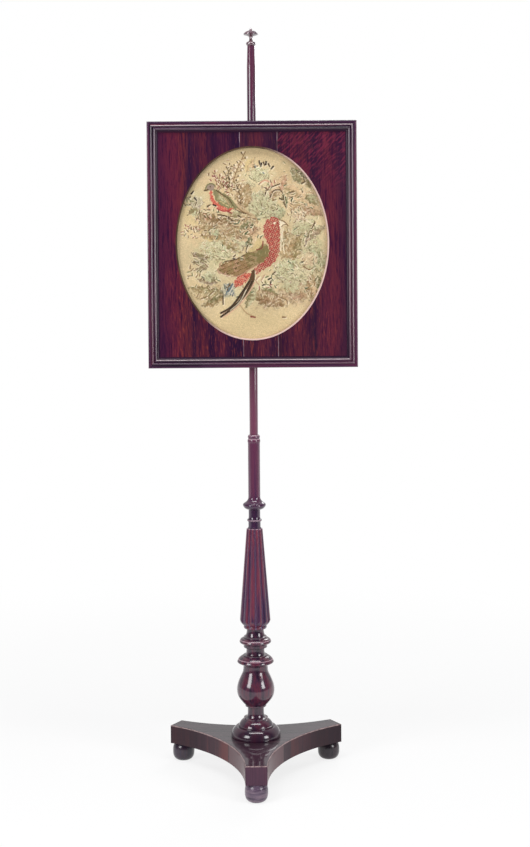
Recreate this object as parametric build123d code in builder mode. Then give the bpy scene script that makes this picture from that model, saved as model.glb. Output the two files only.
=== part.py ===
from build123d import *
import os
from math import cos, radians, sin

# A pole screen: a framed needlework panel that slides on a pole, over a
# turned and reeded stem and a three-legged platform on bun feet.
# The origin is on the floor under the pole, +Z is up, and the panel's face
# looks along -Y. Turned outlines are given as radius and height.

os.makedirs("parts", exist_ok=True)

# Fits
glue_gap = 0.05  # round a glued spigot, dowel or screw
running_gap = 0.06  # round a shaft that turns or slides
rest_gap = 0.3  # between bodies that only face each other

# Platform and feet
foot_height = 33.2
foot_radius = 21.0
foot_top_radius = 15.8
foot_rest_radius = 12.5
foot_circle = 163.8
foot_spigot_radius = 6.0
foot_spigot_length = 15.0
platform_thickness = 34.8
leg_reach = 181.0
leg_end_width = 39.5
hollow_reach = 70.0  # from the pole's axis to the deepest point of a side
leg_arris = 0.8
leg_angles = {"foot_front": -90, "foot_right": 30, "foot_left": 150}
platform_top = foot_height + platform_thickness

# Stem, from the platform up
tenon_radius = 13.0
tenon_foot = foot_height + 1.0
wedge_height = 20.0
wedge_foot_width = 3.2
wedge_tip_width = 1.2
wedge_length = 22.0
skirt_radius = 47.1
skirt_top = 88.0
dome_radius = 32.6
dome_top = 101.4
waist_radius = 15.4
waist_height = 114.0
vase_foot_radius = 20.0
vase_foot = 126.4
vase_radius = 35.6
vase_height = 159.0
vase_neck_radius = 23.2
vase_top = 203.4
lower_ring_radius = 34.9
lower_ring_height = 211.5
upper_ring_radius = 30.2
upper_ring_height = 249.8
shaft_foot = 274.6
shaft_top = 464.5
socket_top = 642.6
stem_spigot_radius = 7.0
stem_spigot_length = 22.0

# Reeded shaft
reed_count = 12
reed_turn = -102.0  # angle of one reed's crest about the pole's axis
reed_fullness = 0.29  # reed radius as a share of the pitch radius
reed_widest = 292.0
reed_widest_radius = 29.3
reed_top_radius = 15.4
shaft_disc_radius = 21.9
shaft_disc_height = 6.2

# Socket for the pole
socket_radius = 11.4
socket_bore_depth = 122.0
knop_radius = 21.8
knop_height = 508.8
fillet_ring_radius = 14.0
fillet_ring_height = 480.4

# Pole and finial
pole_radius = 8.0
pole_taper_foot = 1340.0
pole_top = 1378.8
pole_top_radius = 6.9
pole_foot = socket_top - socket_bore_depth + rest_gap
finial_top = 1412.5
finial_disc_radius = 13.7
finial_dowel_radius = 3.5
finial_dowel_length = 18.0

# Panel
panel_width = 392.9
panel_height = 462.5
panel_middle = 1002.6
panel_front = 34.0  # in front of the pole's axis
panel_depth = 20.0
moulding_width = 21.0
rebate_wall = 8.0
field_recess = 5.5  # field's face behind the moulding's highest bead
board_gap = 0.5  # between a board's edge and the rebate
veneer_thickness = 1.2
ground_thickness = 5.0
canvas_thickness = 1.0
canvas_board_thickness = 3.0
backboard_thickness = 4.0
oval_half_width = 144.0
oval_half_height = 182.0
oval_rise = 2.2  # oval's centre above the panel's
slip_width = 2.8
slip_proud = 0.5
needlework_width = 316.0
needlework_height = 392.0
left_seam_top = -23.0
left_seam_foot = -17.5
right_seam = 47.6

# Brackets, thumbscrew and screws
bracket_rise = 205.0  # above and below the panel's middle
bracket_height = 14.0
bracket_ring_radius = 12.0
bracket_web_width = 13.0
plate_width = 44.0
plate_height = 22.0
plate_thickness = 2.0
boss_radius = 5.0
boss_end = 17.0
thumbscrew_radius = 2.5
thumbscrew_collar_radius = 4.4
thumbscrew_collar_length = 2.5
thumb_grip_width = 18.0
thumb_grip_length = 15.0
thumb_grip_thickness = 3.0
grip_arris = 0.6
screw_radius = 1.1
screw_head_radius = 2.7
screw_head_height = 1.3
screw_length = 11.0
bracket_screw_spread = 15.0
backboard_screw_x = 165.0
backboard_screw_rises = (-205.0, 0.0, 205.0)

# Planes and places worked out from the above
field_face = -panel_front + field_recess
ground_face = field_face + veneer_thickness
canvas_face = ground_face + ground_thickness
canvas_board_face = canvas_face + canvas_thickness
backboard_face = canvas_board_face + canvas_board_thickness
backboard_back = backboard_face + backboard_thickness
panel_back = -panel_front + panel_depth
board_width = panel_width - 2 * (rebate_wall + board_gap)
board_height = panel_height - 2 * (rebate_wall + board_gap)
oval_middle = panel_middle + oval_rise
bracket_levels = {
    "upper_bracket": panel_middle + bracket_rise,
    "lower_bracket": panel_middle - bracket_rise,
}
thumbscrew_level = bracket_levels["upper_bracket"]
backboard_screw_spots = [
    (side * backboard_screw_x, panel_middle + rise)
    for side in (-1, 1)
    for rise in backboard_screw_rises
]
bracket_screw_spots = [
    (side * bracket_screw_spread, level)
    for side in (-1, 1)
    for level in bracket_levels.values()
]


def facing_front(y):
    # An upright plane at depth y, whose normal points to the front
    return Plane.XZ.offset(-y)


def on_circle(radius, angle):
    return Vector(radius * cos(radians(angle)), radius * sin(radians(angle)))


def save(builder, label):
    builder.part.label = label
    export_step(builder.part, f"parts/{label}.step")


# Base platform: three legs with flat ends and hollow sides
with BuildPart() as base_platform:
    with BuildSketch(Plane.XY.offset(foot_height)):
        with BuildLine():
            for angle in leg_angles.values():
                leg_end = on_circle(leg_reach, angle)
                across = on_circle(leg_end_width / 2, angle + 90)
                next_end = on_circle(leg_reach, angle + 120)
                next_across = on_circle(leg_end_width / 2, angle + 210)
                Line(leg_end - across, leg_end + across)
                ThreePointArc(
                    leg_end + across,
                    on_circle(hollow_reach, angle + 60),
                    next_end - next_across,
                )
        make_face()
    extrude(amount=platform_thickness)
    chamfer(base_platform.edges().group_by(Axis.Z)[-1], leg_arris)
    with Locations((0, 0, platform_top)):
        Hole(tenon_radius + glue_gap)
    with BuildSketch(Plane.XY.offset(foot_height)):
        with PolarLocations(foot_circle, len(leg_angles), start_angle=-90):
            Circle(foot_spigot_radius + glue_gap)
    extrude(amount=foot_spigot_length + 1, mode=Mode.SUBTRACT)
save(base_platform, "base_platform")

# Bun feet, each turned with a spigot that is glued into the leg
for foot_name, angle in leg_angles.items():
    foot_centre = on_circle(foot_circle, angle)
    foot_plane = Plane(origin=foot_centre, x_dir=(1, 0, 0), z_dir=(0, -1, 0))
    spigot_top = foot_height + foot_spigot_length
    with BuildPart() as foot:
        with BuildSketch(foot_plane):
            with BuildLine():
                underside = Line((0, 0), (foot_rest_radius, 0))
                bun = Spline(
                    underside @ 1,
                    (foot_radius, foot_height * 0.49),
                    (foot_top_radius, foot_height),
                    tangents=((1, 0.4), (-1, 1)),
                )
                Polyline(
                    bun @ 1,
                    (foot_spigot_radius, foot_height),
                    (foot_spigot_radius, spigot_top),
                    (0, spigot_top),
                    (0, 0),
                )
            make_face()
        revolve(axis=Axis(foot_centre, (0, 0, 1)))
    save(foot, foot_name)

wedge_outline = [
    (-wedge_foot_width / 2, tenon_foot),
    (wedge_foot_width / 2, tenon_foot),
    (wedge_tip_width / 2, tenon_foot + wedge_height),
    (-wedge_tip_width / 2, tenon_foot + wedge_height),
]

# Baluster: quarter-round skirt and dome on the platform, vase, and two lipped rings.
# Its tenon passes through the platform and is spread by a wedge.
with BuildPart() as stem_baluster:
    with BuildSketch(Plane.XZ):
        with BuildLine():
            tenon = Polyline(
                (0, tenon_foot),
                (tenon_radius, tenon_foot),
                (tenon_radius, platform_top),
                (skirt_radius - 0.5, platform_top),
                (skirt_radius, platform_top + 2),
            )
            skirt = ThreePointArc(tenon @ 1, (44.9, 79.8), (37.4, skirt_top))
            quirk = Polyline(skirt @ 1, (33.2, skirt_top), (33.2, 90.6), (dome_radius, 90.8))
            dome = Spline(quirk @ 1, (29.4, 96.4), (23.8, dome_top))
            collar = Polyline(
                dome @ 1, (22.8, dome_top + 0.4), (22.8, dome_top + 3.4), (17.8, dome_top + 4.2)
            )
            cove = ThreePointArc(collar @ 1, (16.1, 109.4), (waist_radius, waist_height))
            vase_fillet = Polyline(
                cove @ 1,
                (waist_radius, vase_foot - 1.4),
                (vase_foot_radius - 1, vase_foot - 0.6),
                (vase_foot_radius, vase_foot),
                (vase_foot_radius, vase_foot + 2.4),
            )
            vase = Spline(
                vase_fillet @ 1,
                (26.0, 135.0),
                (33.0, 145.0),
                (vase_radius, vase_height),
                (30.6, 178.0),
                (25.2, 189.6),
                (vase_neck_radius, vase_top),
                tangents=((1, 0.8), (0, 1)),
            )
            lower_lip = ThreePointArc(
                (30.2, 208.4), (33.4, 209.2), (lower_ring_radius, lower_ring_height)
            )
            Line(vase @ 1, lower_lip @ 0)
            lower_ring = ThreePointArc(lower_lip @ 1, (31.8, 217.2), (25.0, 222.2))
            lower_fillet = Polyline(lower_ring @ 1, (22.8, 222.2), (22.8, 224.2), (18.4, 224.8))
            neck = ThreePointArc(lower_fillet @ 1, (17.2, 230.4), (17.3, 237.6))
            step = Polyline(neck @ 1, (21.6, 238.2), (22.4, 239.0), (22.4, 243.4))
            upper_lip = ThreePointArc(
                (27.0, 246.2), (29.3, 247.4), (upper_ring_radius, upper_ring_height)
            )
            Line(step @ 1, upper_lip @ 0)
            upper_ring = ThreePointArc(upper_lip @ 1, (28.4, 253.4), (23.0, 256.2))
            upper_fillet = Polyline(upper_ring @ 1, (21.4, 256.2), (21.4, 259.6), (18.8, 260.2))
            throat = ThreePointArc(upper_fillet @ 1, (16.8, 265.8), (16.3, shaft_foot))
            Polyline(
                throat @ 1,
                (stem_spigot_radius, shaft_foot),
                (stem_spigot_radius, shaft_foot + stem_spigot_length),
                (0, shaft_foot + stem_spigot_length),
                tenon @ 0,
            )
        make_face()
    revolve(axis=Axis.Z)
    with BuildSketch(Plane.XZ):
        Polygon(*wedge_outline, align=None)
    extrude(amount=tenon_radius, both=True, mode=Mode.SUBTRACT)
save(stem_baluster, "stem_baluster")

# Wedge that spreads the tenon from below
with BuildPart() as tenon_wedge:
    with BuildSketch(Plane.XZ):
        Polygon(*wedge_outline, align=None)
    extrude(amount=wedge_length / 2, both=True)
save(tenon_wedge, "tenon_wedge")


def reeded_section(crest_radius):
    # Round reeds side by side on a pitch circle, over a filled core
    pitch_radius = crest_radius / (1 + reed_fullness)
    Circle(pitch_radius)
    with PolarLocations(pitch_radius, reed_count, start_angle=reed_turn):
        Circle(pitch_radius * reed_fullness)


# Reeded shaft: tapering reeds, rounded over at their lower ends
reed_foot = shaft_foot + shaft_disc_height
reed_taper = (reed_widest_radius - reed_top_radius) / (shaft_top - reed_widest)
reed_foot_radius = reed_widest_radius + reed_taper * (reed_widest - reed_foot)
with BuildPart() as reeded_shaft:
    with BuildSketch(Plane.XY.offset(reed_foot)):
        reeded_section(reed_foot_radius)
    with BuildSketch(Plane.XY.offset(shaft_top)):
        reeded_section(reed_top_radius)
    loft(ruled=True)
    with BuildSketch(Plane.XZ):
        with BuildLine():
            round_over = ThreePointArc((22.4, reed_foot), (26.8, 285.4), (29.4, reed_widest))
            Polyline(
                round_over @ 1,
                (reed_top_radius + 0.2, shaft_top - 1),
                (reed_top_radius - 0.9, shaft_top),
                (0, shaft_top),
                (0, reed_foot),
                round_over @ 0,
            )
        make_face()
    revolve(axis=Axis.Z, mode=Mode.INTERSECT)
    with BuildSketch(Plane.XZ):
        with BuildLine():
            disc_edge = ThreePointArc(
                (shaft_disc_radius - 1.2, shaft_foot),
                (shaft_disc_radius, shaft_foot + shaft_disc_height / 2),
                (shaft_disc_radius - 1.2, reed_foot),
            )
            Polyline(disc_edge @ 1, (0, reed_foot), (0, shaft_foot), disc_edge @ 0)
        make_face()
    revolve(axis=Axis.Z)
    with BuildSketch(Plane.XY.offset(shaft_foot)):
        Circle(stem_spigot_radius + glue_gap)
    extrude(amount=stem_spigot_length + 1, mode=Mode.SUBTRACT)
    with BuildSketch(Plane.XY.offset(shaft_top)):
        Circle(stem_spigot_radius + glue_gap)
    extrude(amount=-stem_spigot_length - 1, mode=Mode.SUBTRACT)
save(reeded_shaft, "reeded_shaft")

# Pole socket: tube with a two-bead mouth, a flat knop and a fillet ring
with BuildPart() as pole_socket:
    with BuildSketch(Plane.XZ):
        with BuildLine():
            spigot = Polyline(
                (0, shaft_top - stem_spigot_length),
                (stem_spigot_radius, shaft_top - stem_spigot_length),
                (stem_spigot_radius, shaft_top),
                (12.6, shaft_top),
                (12.6, shaft_top + 1.6),
                (11.6, shaft_top + 2.6),
                (11.6, fillet_ring_height - 2.8),
            )
            fillet_ring = ThreePointArc(
                spigot @ 1, (fillet_ring_radius, fillet_ring_height), (11.6, fillet_ring_height + 2.4)
            )
            neck_line = Polyline(fillet_ring @ 1, (11.0, 486.0), (11.0, 500.6))
            knop_under = ThreePointArc(neck_line @ 1, (18.6, 503.6), (knop_radius, knop_height))
            knop_over = Spline(
                knop_under @ 1,
                (17.4, 514.2),
                (12.4, 519.6),
                (socket_radius, 526.0),
                tangents=((0, 1), (0, 1)),
            )
            tube = Line(knop_over @ 1, (socket_radius, 627.0))
            mouth_low = ThreePointArc(tube @ 1, (12.1, 631.2), (10.6, 635.6))
            mouth_high = ThreePointArc(mouth_low @ 1, (11.5, 638.6), (9.4, socket_top))
            Polyline(mouth_high @ 1, (0, socket_top), spigot @ 0)
        make_face()
    revolve(axis=Axis.Z)
    with BuildSketch(Plane.XY.offset(socket_top)):
        Circle(pole_radius + running_gap)
    extrude(amount=-socket_bore_depth, mode=Mode.SUBTRACT)
save(pole_socket, "pole_socket")

# Pole: straight where the panel slides, slightly tapered at the top
with BuildPart() as pole:
    with BuildSketch(Plane.XZ):
        Polygon(
            (0, pole_foot),
            (pole_radius - 1, pole_foot),
            (pole_radius, pole_foot + 1),
            (pole_radius, pole_taper_foot),
            (pole_top_radius, pole_top),
            (0, pole_top),
            align=None,
        )
    revolve(axis=Axis.Z)
    with BuildSketch(Plane.XY.offset(pole_top)):
        Circle(finial_dowel_radius + glue_gap)
    extrude(amount=-finial_dowel_length - 1, mode=Mode.SUBTRACT)
save(pole, "pole")

# Finial: a ring, a thin neck and a domed button with a pointed tip
with BuildPart() as finial:
    with BuildSketch(Plane.XZ):
        with BuildLine():
            dowel = Polyline(
                (0, pole_top - finial_dowel_length),
                (finial_dowel_radius, pole_top - finial_dowel_length),
                (finial_dowel_radius, pole_top),
                (pole_top_radius, pole_top),
            )
            ring = ThreePointArc(dowel @ 1, (9.2, 1382.6), (5.2, 1386.0))
            thin_neck = ThreePointArc(ring @ 1, (3.0, 1391.0), (4.4, 1396.2))
            under = ThreePointArc(thin_neck @ 1, (8.8, 1398.0), (finial_disc_radius, 1399.4))
            rim = Line(under @ 1, (finial_disc_radius, 1401.2))
            top_dome = ThreePointArc(rim @ 1, (9.4, 1405.0), (3.9, 1407.0))
            tip = Polyline(top_dome @ 1, (2.3, 1409.2), (1.0, finial_top - 0.4))
            Polyline(tip @ 1, (0, finial_top), dowel @ 0)
        make_face()
    revolve(axis=Axis.Z)
save(finial, "finial")


def moulding_outline():
    # Outer edge at 0 and back at 0; an outer band, two beads with quirks
    # beside them, a cove down to the field, and the rebate behind
    lip_back = panel_depth - field_recess
    side = Line((0, 0), (0, 17.0))
    edge = ThreePointArc(side @ 1, (0.6, 18.4), (2.0, 18.9))
    band = ThreePointArc(edge @ 1, (3.8, 19.0), (5.6, 18.5))
    first_quirk = Polyline(band @ 1, (5.6, 17.7), (6.4, 17.7), (6.4, 18.3))
    first_bead = ThreePointArc(first_quirk @ 1, (8.2, panel_depth), (10.0, 18.3))
    second_quirk = Polyline(first_bead @ 1, (10.0, 16.9), (12.0, 16.9), (12.0, 17.5))
    second_bead = ThreePointArc(second_quirk @ 1, (14.0, 19.3), (16.0, 17.5))
    third_quirk = Polyline(second_bead @ 1, (16.0, 16.7), (16.6, 16.7))
    cove = ThreePointArc(third_quirk @ 1, (18.2, 15.5), (moulding_width, 15.0))
    Polyline(
        cove @ 1,
        (moulding_width, lip_back),
        (rebate_wall, lip_back),
        (rebate_wall, 0),
        side @ 0,
    )


# Frame: four lengths of moulding, mitred at the corners.
# Each is told by the direction from its outer edge to the panel's middle.
half_width = panel_width / 2
half_height = panel_height / 2
frame_lengths = {
    "frame_bottom_rail": (Vector(0, 0, 1), half_height, half_width),
    "frame_top_rail": (Vector(0, 0, -1), half_height, half_width),
    "frame_left_stile": (Vector(1, 0, 0), half_width, half_height),
    "frame_right_stile": (Vector(-1, 0, 0), half_width, half_height),
}
panel_centre = Vector(0, panel_back, panel_middle)
for length_name, (inward, reach, half_length) in frame_lengths.items():
    to_front = Vector(0, -1, 0)
    along = inward.cross(to_front)
    outer_edge = panel_centre - inward * reach
    mitre_plane = Plane(origin=outer_edge, x_dir=inward, z_dir=to_front)
    with BuildPart() as frame_length:
        with BuildSketch(Plane(origin=outer_edge, x_dir=inward, z_dir=along)):
            with BuildLine():
                moulding_outline()
            make_face()
        extrude(amount=half_length, both=True)
        with BuildSketch(mitre_plane):
            Polygon(
                (0, -half_length),
                (moulding_width, moulding_width - half_length),
                (moulding_width, half_length - moulding_width),
                (0, half_length),
                align=None,
            )
        extrude(amount=panel_depth, mode=Mode.INTERSECT)
    save(frame_length, length_name)

# Veneer: three leaves, cut away round the oval
board_left = -board_width / 2
board_right = board_width / 2
board_low = panel_middle - board_height / 2
board_high = panel_middle + board_height / 2
veneer_outlines = {
    "veneer_leaf_left": (board_left, board_left, left_seam_foot, left_seam_top),
    "veneer_leaf_centre": (left_seam_foot, left_seam_top, right_seam, right_seam),
    "veneer_leaf_right": (right_seam, right_seam, board_right, board_right),
}
for leaf_name, (left_foot, left_head, right_foot, right_head) in veneer_outlines.items():
    with BuildPart() as veneer_leaf:
        with BuildSketch(facing_front(ground_face)):
            Polygon(
                (left_foot, board_low),
                (right_foot, board_low),
                (right_head, board_high),
                (left_head, board_high),
                align=None,
            )
            with Locations((0, oval_middle)):
                Ellipse(oval_half_width, oval_half_height, mode=Mode.SUBTRACT)
        extrude(amount=veneer_thickness)
    save(veneer_leaf, leaf_name)

# Ground board that the veneer is laid on, open at the oval
with BuildPart() as ground_board:
    with BuildSketch(facing_front(canvas_face)):
        with Locations((0, panel_middle)):
            Rectangle(board_width, board_height)
        with Locations((0, oval_middle)):
            Ellipse(oval_half_width, oval_half_height, mode=Mode.SUBTRACT)
        with Locations(*backboard_screw_spots, *bracket_screw_spots):
            Circle(screw_radius + glue_gap, mode=Mode.SUBTRACT)
    extrude(amount=ground_thickness)
save(ground_board, "ground_board")

# Slip: a thin polished lining round the oval's edge
slip_depth = ground_thickness + veneer_thickness + slip_proud
with BuildPart() as oval_slip:
    with BuildSketch(facing_front(canvas_face)):
        with Locations((0, oval_middle)):
            Ellipse(oval_half_width, oval_half_height)
            Ellipse(
                oval_half_width - slip_width,
                oval_half_height - slip_width,
                mode=Mode.SUBTRACT,
            )
    extrude(amount=slip_depth)
    chamfer(oval_slip.faces().sort_by(Axis.Y)[0].inner_wires().edges(), 1.8, 1.4)
save(oval_slip, "oval_slip")

# Needlework, held flat on its own board behind the oval
with BuildPart() as needlework:
    with BuildSketch(facing_front(canvas_board_face)):
        with Locations((0, panel_middle)):
            Rectangle(needlework_width, needlework_height)
    extrude(amount=canvas_thickness)
save(needlework, "needlework")

with BuildPart() as canvas_board:
    with BuildSketch(facing_front(backboard_face)):
        with Locations((0, panel_middle)):
            Rectangle(board_width, board_height)
        with Locations(*backboard_screw_spots, *bracket_screw_spots):
            Circle(screw_radius + glue_gap, mode=Mode.SUBTRACT)
    extrude(amount=canvas_board_thickness)
save(canvas_board, "canvas_board")

# Backboard that closes the rebate
with BuildPart() as backboard:
    with BuildSketch(facing_front(backboard_back)):
        with Locations((0, panel_middle)):
            Rectangle(board_width, board_height)
    extrude(amount=backboard_thickness)
    chamfer(backboard.faces().sort_by(Axis.Y)[-1].edges(), 1.0)
    with BuildSketch(facing_front(backboard_back)):
        with Locations(*backboard_screw_spots, *bracket_screw_spots):
            Circle(screw_radius + glue_gap)
    extrude(amount=backboard_thickness, mode=Mode.SUBTRACT)
save(backboard, "backboard")


def screw_outline():
    # A raised head over a pointed shank, about the sketch's Y axis
    Polyline(
        (0, screw_head_height),
        (screw_head_radius * 0.6, screw_head_height),
        (screw_head_radius, 0),
        (screw_radius, 0),
        (screw_radius, 1 - screw_length),
        (0, -screw_length),
        (0, screw_head_height),
    )


# Screws through the three boards, and through the bracket plates
plate_back = backboard_back + plate_thickness
screw_groups = {
    "backboard_screws": (backboard_screw_spots, backboard_back),
    "bracket_screws": (bracket_screw_spots, plate_back),
}
for group_name, (spots, seat) in screw_groups.items():
    with BuildPart() as screws:
        for spot_x, spot_z in spots:
            spot = Vector(spot_x, seat, spot_z)
            with BuildSketch(Plane(origin=spot, x_dir=(1, 0, 0), z_dir=(0, 0, 1))):
                with BuildLine():
                    screw_outline()
                make_face()
            revolve(axis=Axis(spot, (0, 1, 0)))
    save(screws, group_name)

# Brackets: a plate on the backboard with a ring for the pole.
# The upper ring carries a tapped boss for the thumbscrew.
for bracket_name, level in bracket_levels.items():
    boss_plane = Plane(origin=(0, 0, level), x_dir=(1, 0, 0), z_dir=(0, 1, 0))
    with BuildPart() as bracket:
        with BuildSketch(facing_front(plate_back)):
            with Locations((0, level)):
                RectangleRounded(plate_width, plate_height, plate_height / 2 - 1)
            with Locations((-bracket_screw_spread, level), (bracket_screw_spread, level)):
                Circle(screw_radius + glue_gap, mode=Mode.SUBTRACT)
        extrude(amount=plate_thickness)
        with BuildSketch(Plane.XY.offset(level - bracket_height / 2)):
            Circle(bracket_ring_radius)
            with Locations((0, plate_back / 2)):
                Rectangle(bracket_web_width, abs(plate_back))
        extrude(amount=bracket_height)
        if bracket_name == "upper_bracket":
            with BuildSketch(boss_plane):
                Circle(boss_radius)
            extrude(amount=boss_end)
        with BuildSketch(Plane.XY.offset(level - bracket_height / 2)):
            Circle(pole_radius + running_gap)
        extrude(amount=bracket_height, mode=Mode.SUBTRACT)
        if bracket_name == "upper_bracket":
            with BuildSketch(boss_plane):
                Circle(thumbscrew_radius + running_gap)
            extrude(amount=boss_end, mode=Mode.SUBTRACT)
    save(bracket, bracket_name)

# Thumbscrew: its tip bears on the pole, and its flat grip stands behind
tip_y = pole_radius + rest_gap
collar_y = boss_end + rest_gap
grip_y = collar_y + thumbscrew_collar_length
with BuildPart() as thumbscrew:
    with BuildSketch(Plane(origin=(0, 0, thumbscrew_level), x_dir=(1, 0, 0), z_dir=(0, 0, 1))):
        Polygon(
            (0, tip_y),
            (thumbscrew_radius - 0.8, tip_y),
            (thumbscrew_radius, tip_y + 0.8),
            (thumbscrew_radius, collar_y),
            (thumbscrew_collar_radius, collar_y),
            (thumbscrew_collar_radius, grip_y),
            (thumbscrew_radius, grip_y + 1.5),
            (0, grip_y + 1.5),
            align=None,
        )
    revolve(axis=Axis((0, 0, thumbscrew_level), (0, 1, 0)))
    grip_middle = grip_y + thumb_grip_length / 2
    with BuildSketch(Plane(origin=(0, grip_middle, thumbscrew_level), x_dir=(1, 0, 0), z_dir=(0, 0, 1))):
        Ellipse(thumb_grip_width / 2, thumb_grip_length / 2)
    extrude(amount=thumb_grip_thickness / 2, both=True)
    fillet(thumbscrew.edges().filter_by(GeomType.ELLIPSE), grip_arris)
save(thumbscrew, "thumbscrew")
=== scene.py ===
import math

import bmesh
import bpy
import numpy as np
from mathutils import Matrix, Vector


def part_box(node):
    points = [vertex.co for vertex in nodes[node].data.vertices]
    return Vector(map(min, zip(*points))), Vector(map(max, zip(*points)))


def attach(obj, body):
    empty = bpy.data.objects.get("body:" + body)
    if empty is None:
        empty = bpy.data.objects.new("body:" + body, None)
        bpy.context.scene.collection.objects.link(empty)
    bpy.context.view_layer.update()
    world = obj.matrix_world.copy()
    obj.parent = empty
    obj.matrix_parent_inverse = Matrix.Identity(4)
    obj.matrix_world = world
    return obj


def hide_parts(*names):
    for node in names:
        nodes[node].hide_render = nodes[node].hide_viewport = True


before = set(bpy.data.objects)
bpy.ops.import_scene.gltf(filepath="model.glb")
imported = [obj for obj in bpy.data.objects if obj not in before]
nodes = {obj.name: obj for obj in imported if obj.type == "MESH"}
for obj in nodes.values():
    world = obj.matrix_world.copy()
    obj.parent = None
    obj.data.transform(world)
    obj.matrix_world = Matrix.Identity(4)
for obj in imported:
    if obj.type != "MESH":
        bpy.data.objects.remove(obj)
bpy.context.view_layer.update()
print("frame loaded:", len(nodes), "pieces")


def rgb(red, green, blue):
    # a colour as a screen shows it, 0 to 255, made linear for the shader
    def linear(value):
        value /= 255
        return value / 12.92 if value <= 0.04045 else ((value + 0.055) / 1.055) ** 2.4

    return (linear(red), linear(green), linear(blue), 1.0)


def arithmetic(operation):
    # a Math node as an operator of Wire, and the same with its sides reflected
    def straight(self, other):
        return self.maths(operation, self, other)

    def reflected(self, other):
        return self.maths(operation, other, self)

    return straight, reflected


class Wire:
    # a socket that takes part in plain arithmetic
    __add__, __radd__ = arithmetic("ADD")
    __sub__, __rsub__ = arithmetic("SUBTRACT")
    __mul__, __rmul__ = arithmetic("MULTIPLY")
    __truediv__ = arithmetic("DIVIDE")[0]

    def __init__(self, finish, socket):
        self.finish, self.socket = finish, socket

    def __abs__(self):
        return self.maths("ABSOLUTE", self)

    def maths(self, operation, *values, clamp=False):
        settings = {"operation": operation, "use_clamp": clamp}
        return self.finish.node("Math", settings, dict(enumerate(values)))

    def clamped(self):
        return self.maths("ADD", self, 0.0, clamp=True)

    def stepUp(self, low, high):
        # 0 below low, 1 above high, smooth between them
        settings = {"interpolation_type": "SMOOTHSTEP"}
        return self.finish.node("MapRange", settings, {"Value": self, "From Min": low, "From Max": high})


class Finish:
    # one material, or the world, while its nodes are being laid
    def __init__(self, name, tree=None):
        if tree is None:
            self.material = bpy.data.materials.new(name)
            self.material.use_nodes = True
            tree = self.material.node_tree
        self.tree = tree
        self.tree.nodes.clear()

    def node(self, kind, settings=None, sockets=None, output=0):
        made = self.tree.nodes.new("ShaderNode" + kind)
        for key, value in (settings or {}).items():
            if key == "stops":
                while len(made.color_ramp.elements) < len(value):
                    made.color_ramp.elements.new(1.0)
                for element, (position, colour) in zip(made.color_ramp.elements, value):
                    element.position, element.color = position, colour
            else:
                setattr(made, key, value)
        for key, value in (sockets or {}).items():
            if isinstance(value, Wire):
                self.tree.links.new(value.socket, made.inputs[key])
            else:
                made.inputs[key].default_value = value
        return Wire(self, made.outputs[output]) if made.outputs else made

    def place(self, shift=(0, 0, 0), scale=(1, 1, 1), lean=0):
        # where a point of the wood is, turned by lean in the panel's plane, then stretched
        where = self.node("TexCoord", output="Object")
        if lean:
            where = self.node("Mapping", None, {"Vector": where, "Rotation": (0, math.radians(lean), 0)})
        return self.node("Mapping", None, {"Vector": where, "Location": shift, "Scale": scale})

    def noise(self, where, scale, detail=3.0, rough=0.5, bend=0.0):
        return self.node("TexNoise", None, {
            "Vector": where, "Scale": scale, "Detail": detail, "Roughness": rough, "Distortion": bend,
        })

    def axis(self, name, shift=(0, 0, 0)):
        # how far along X, Y or Z a point of the piece is
        return self.node("SeparateXYZ", None, {0: self.place(shift)}, output=name)

    def bump(self, strength, distance, height):
        return self.node("Bump", None, {"Strength": strength, "Distance": distance, "Height": height})

    def mix(self, amount, first, second, blend="MIX"):
        settings = {"data_type": "RGBA", "blend_type": blend}
        return self.node("Mix", settings, {0: amount, 6: first, 7: second}, output=2)

    def ramp(self, amount, stops):
        return self.node("ValToRGB", {"stops": stops}, {0: amount})

    def rays(self, kind):
        # 1 for rays of this kind
        return self.node("LightPath", output=f"Is {kind} Ray")

    def surface(self, sockets):
        shader = self.node("BsdfPrincipled", None, sockets)
        self.node("OutputMaterial", None, {"Surface": shader})
        return self.material


def dress(node, material):
    # a piece of the CAD model takes this finish in place of its plain one
    nodes[node].data.materials.clear()
    nodes[node].data.materials.append(material)


# Polished rosewood, for all that is turned, sawn or moulded.
# The grain runs along the direction whose stretch is small, and finer hairs further still.
alongZ, alongX = (1, 1, 0.03), (0.03, 1, 1)
hairStretch = 0.015


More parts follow.
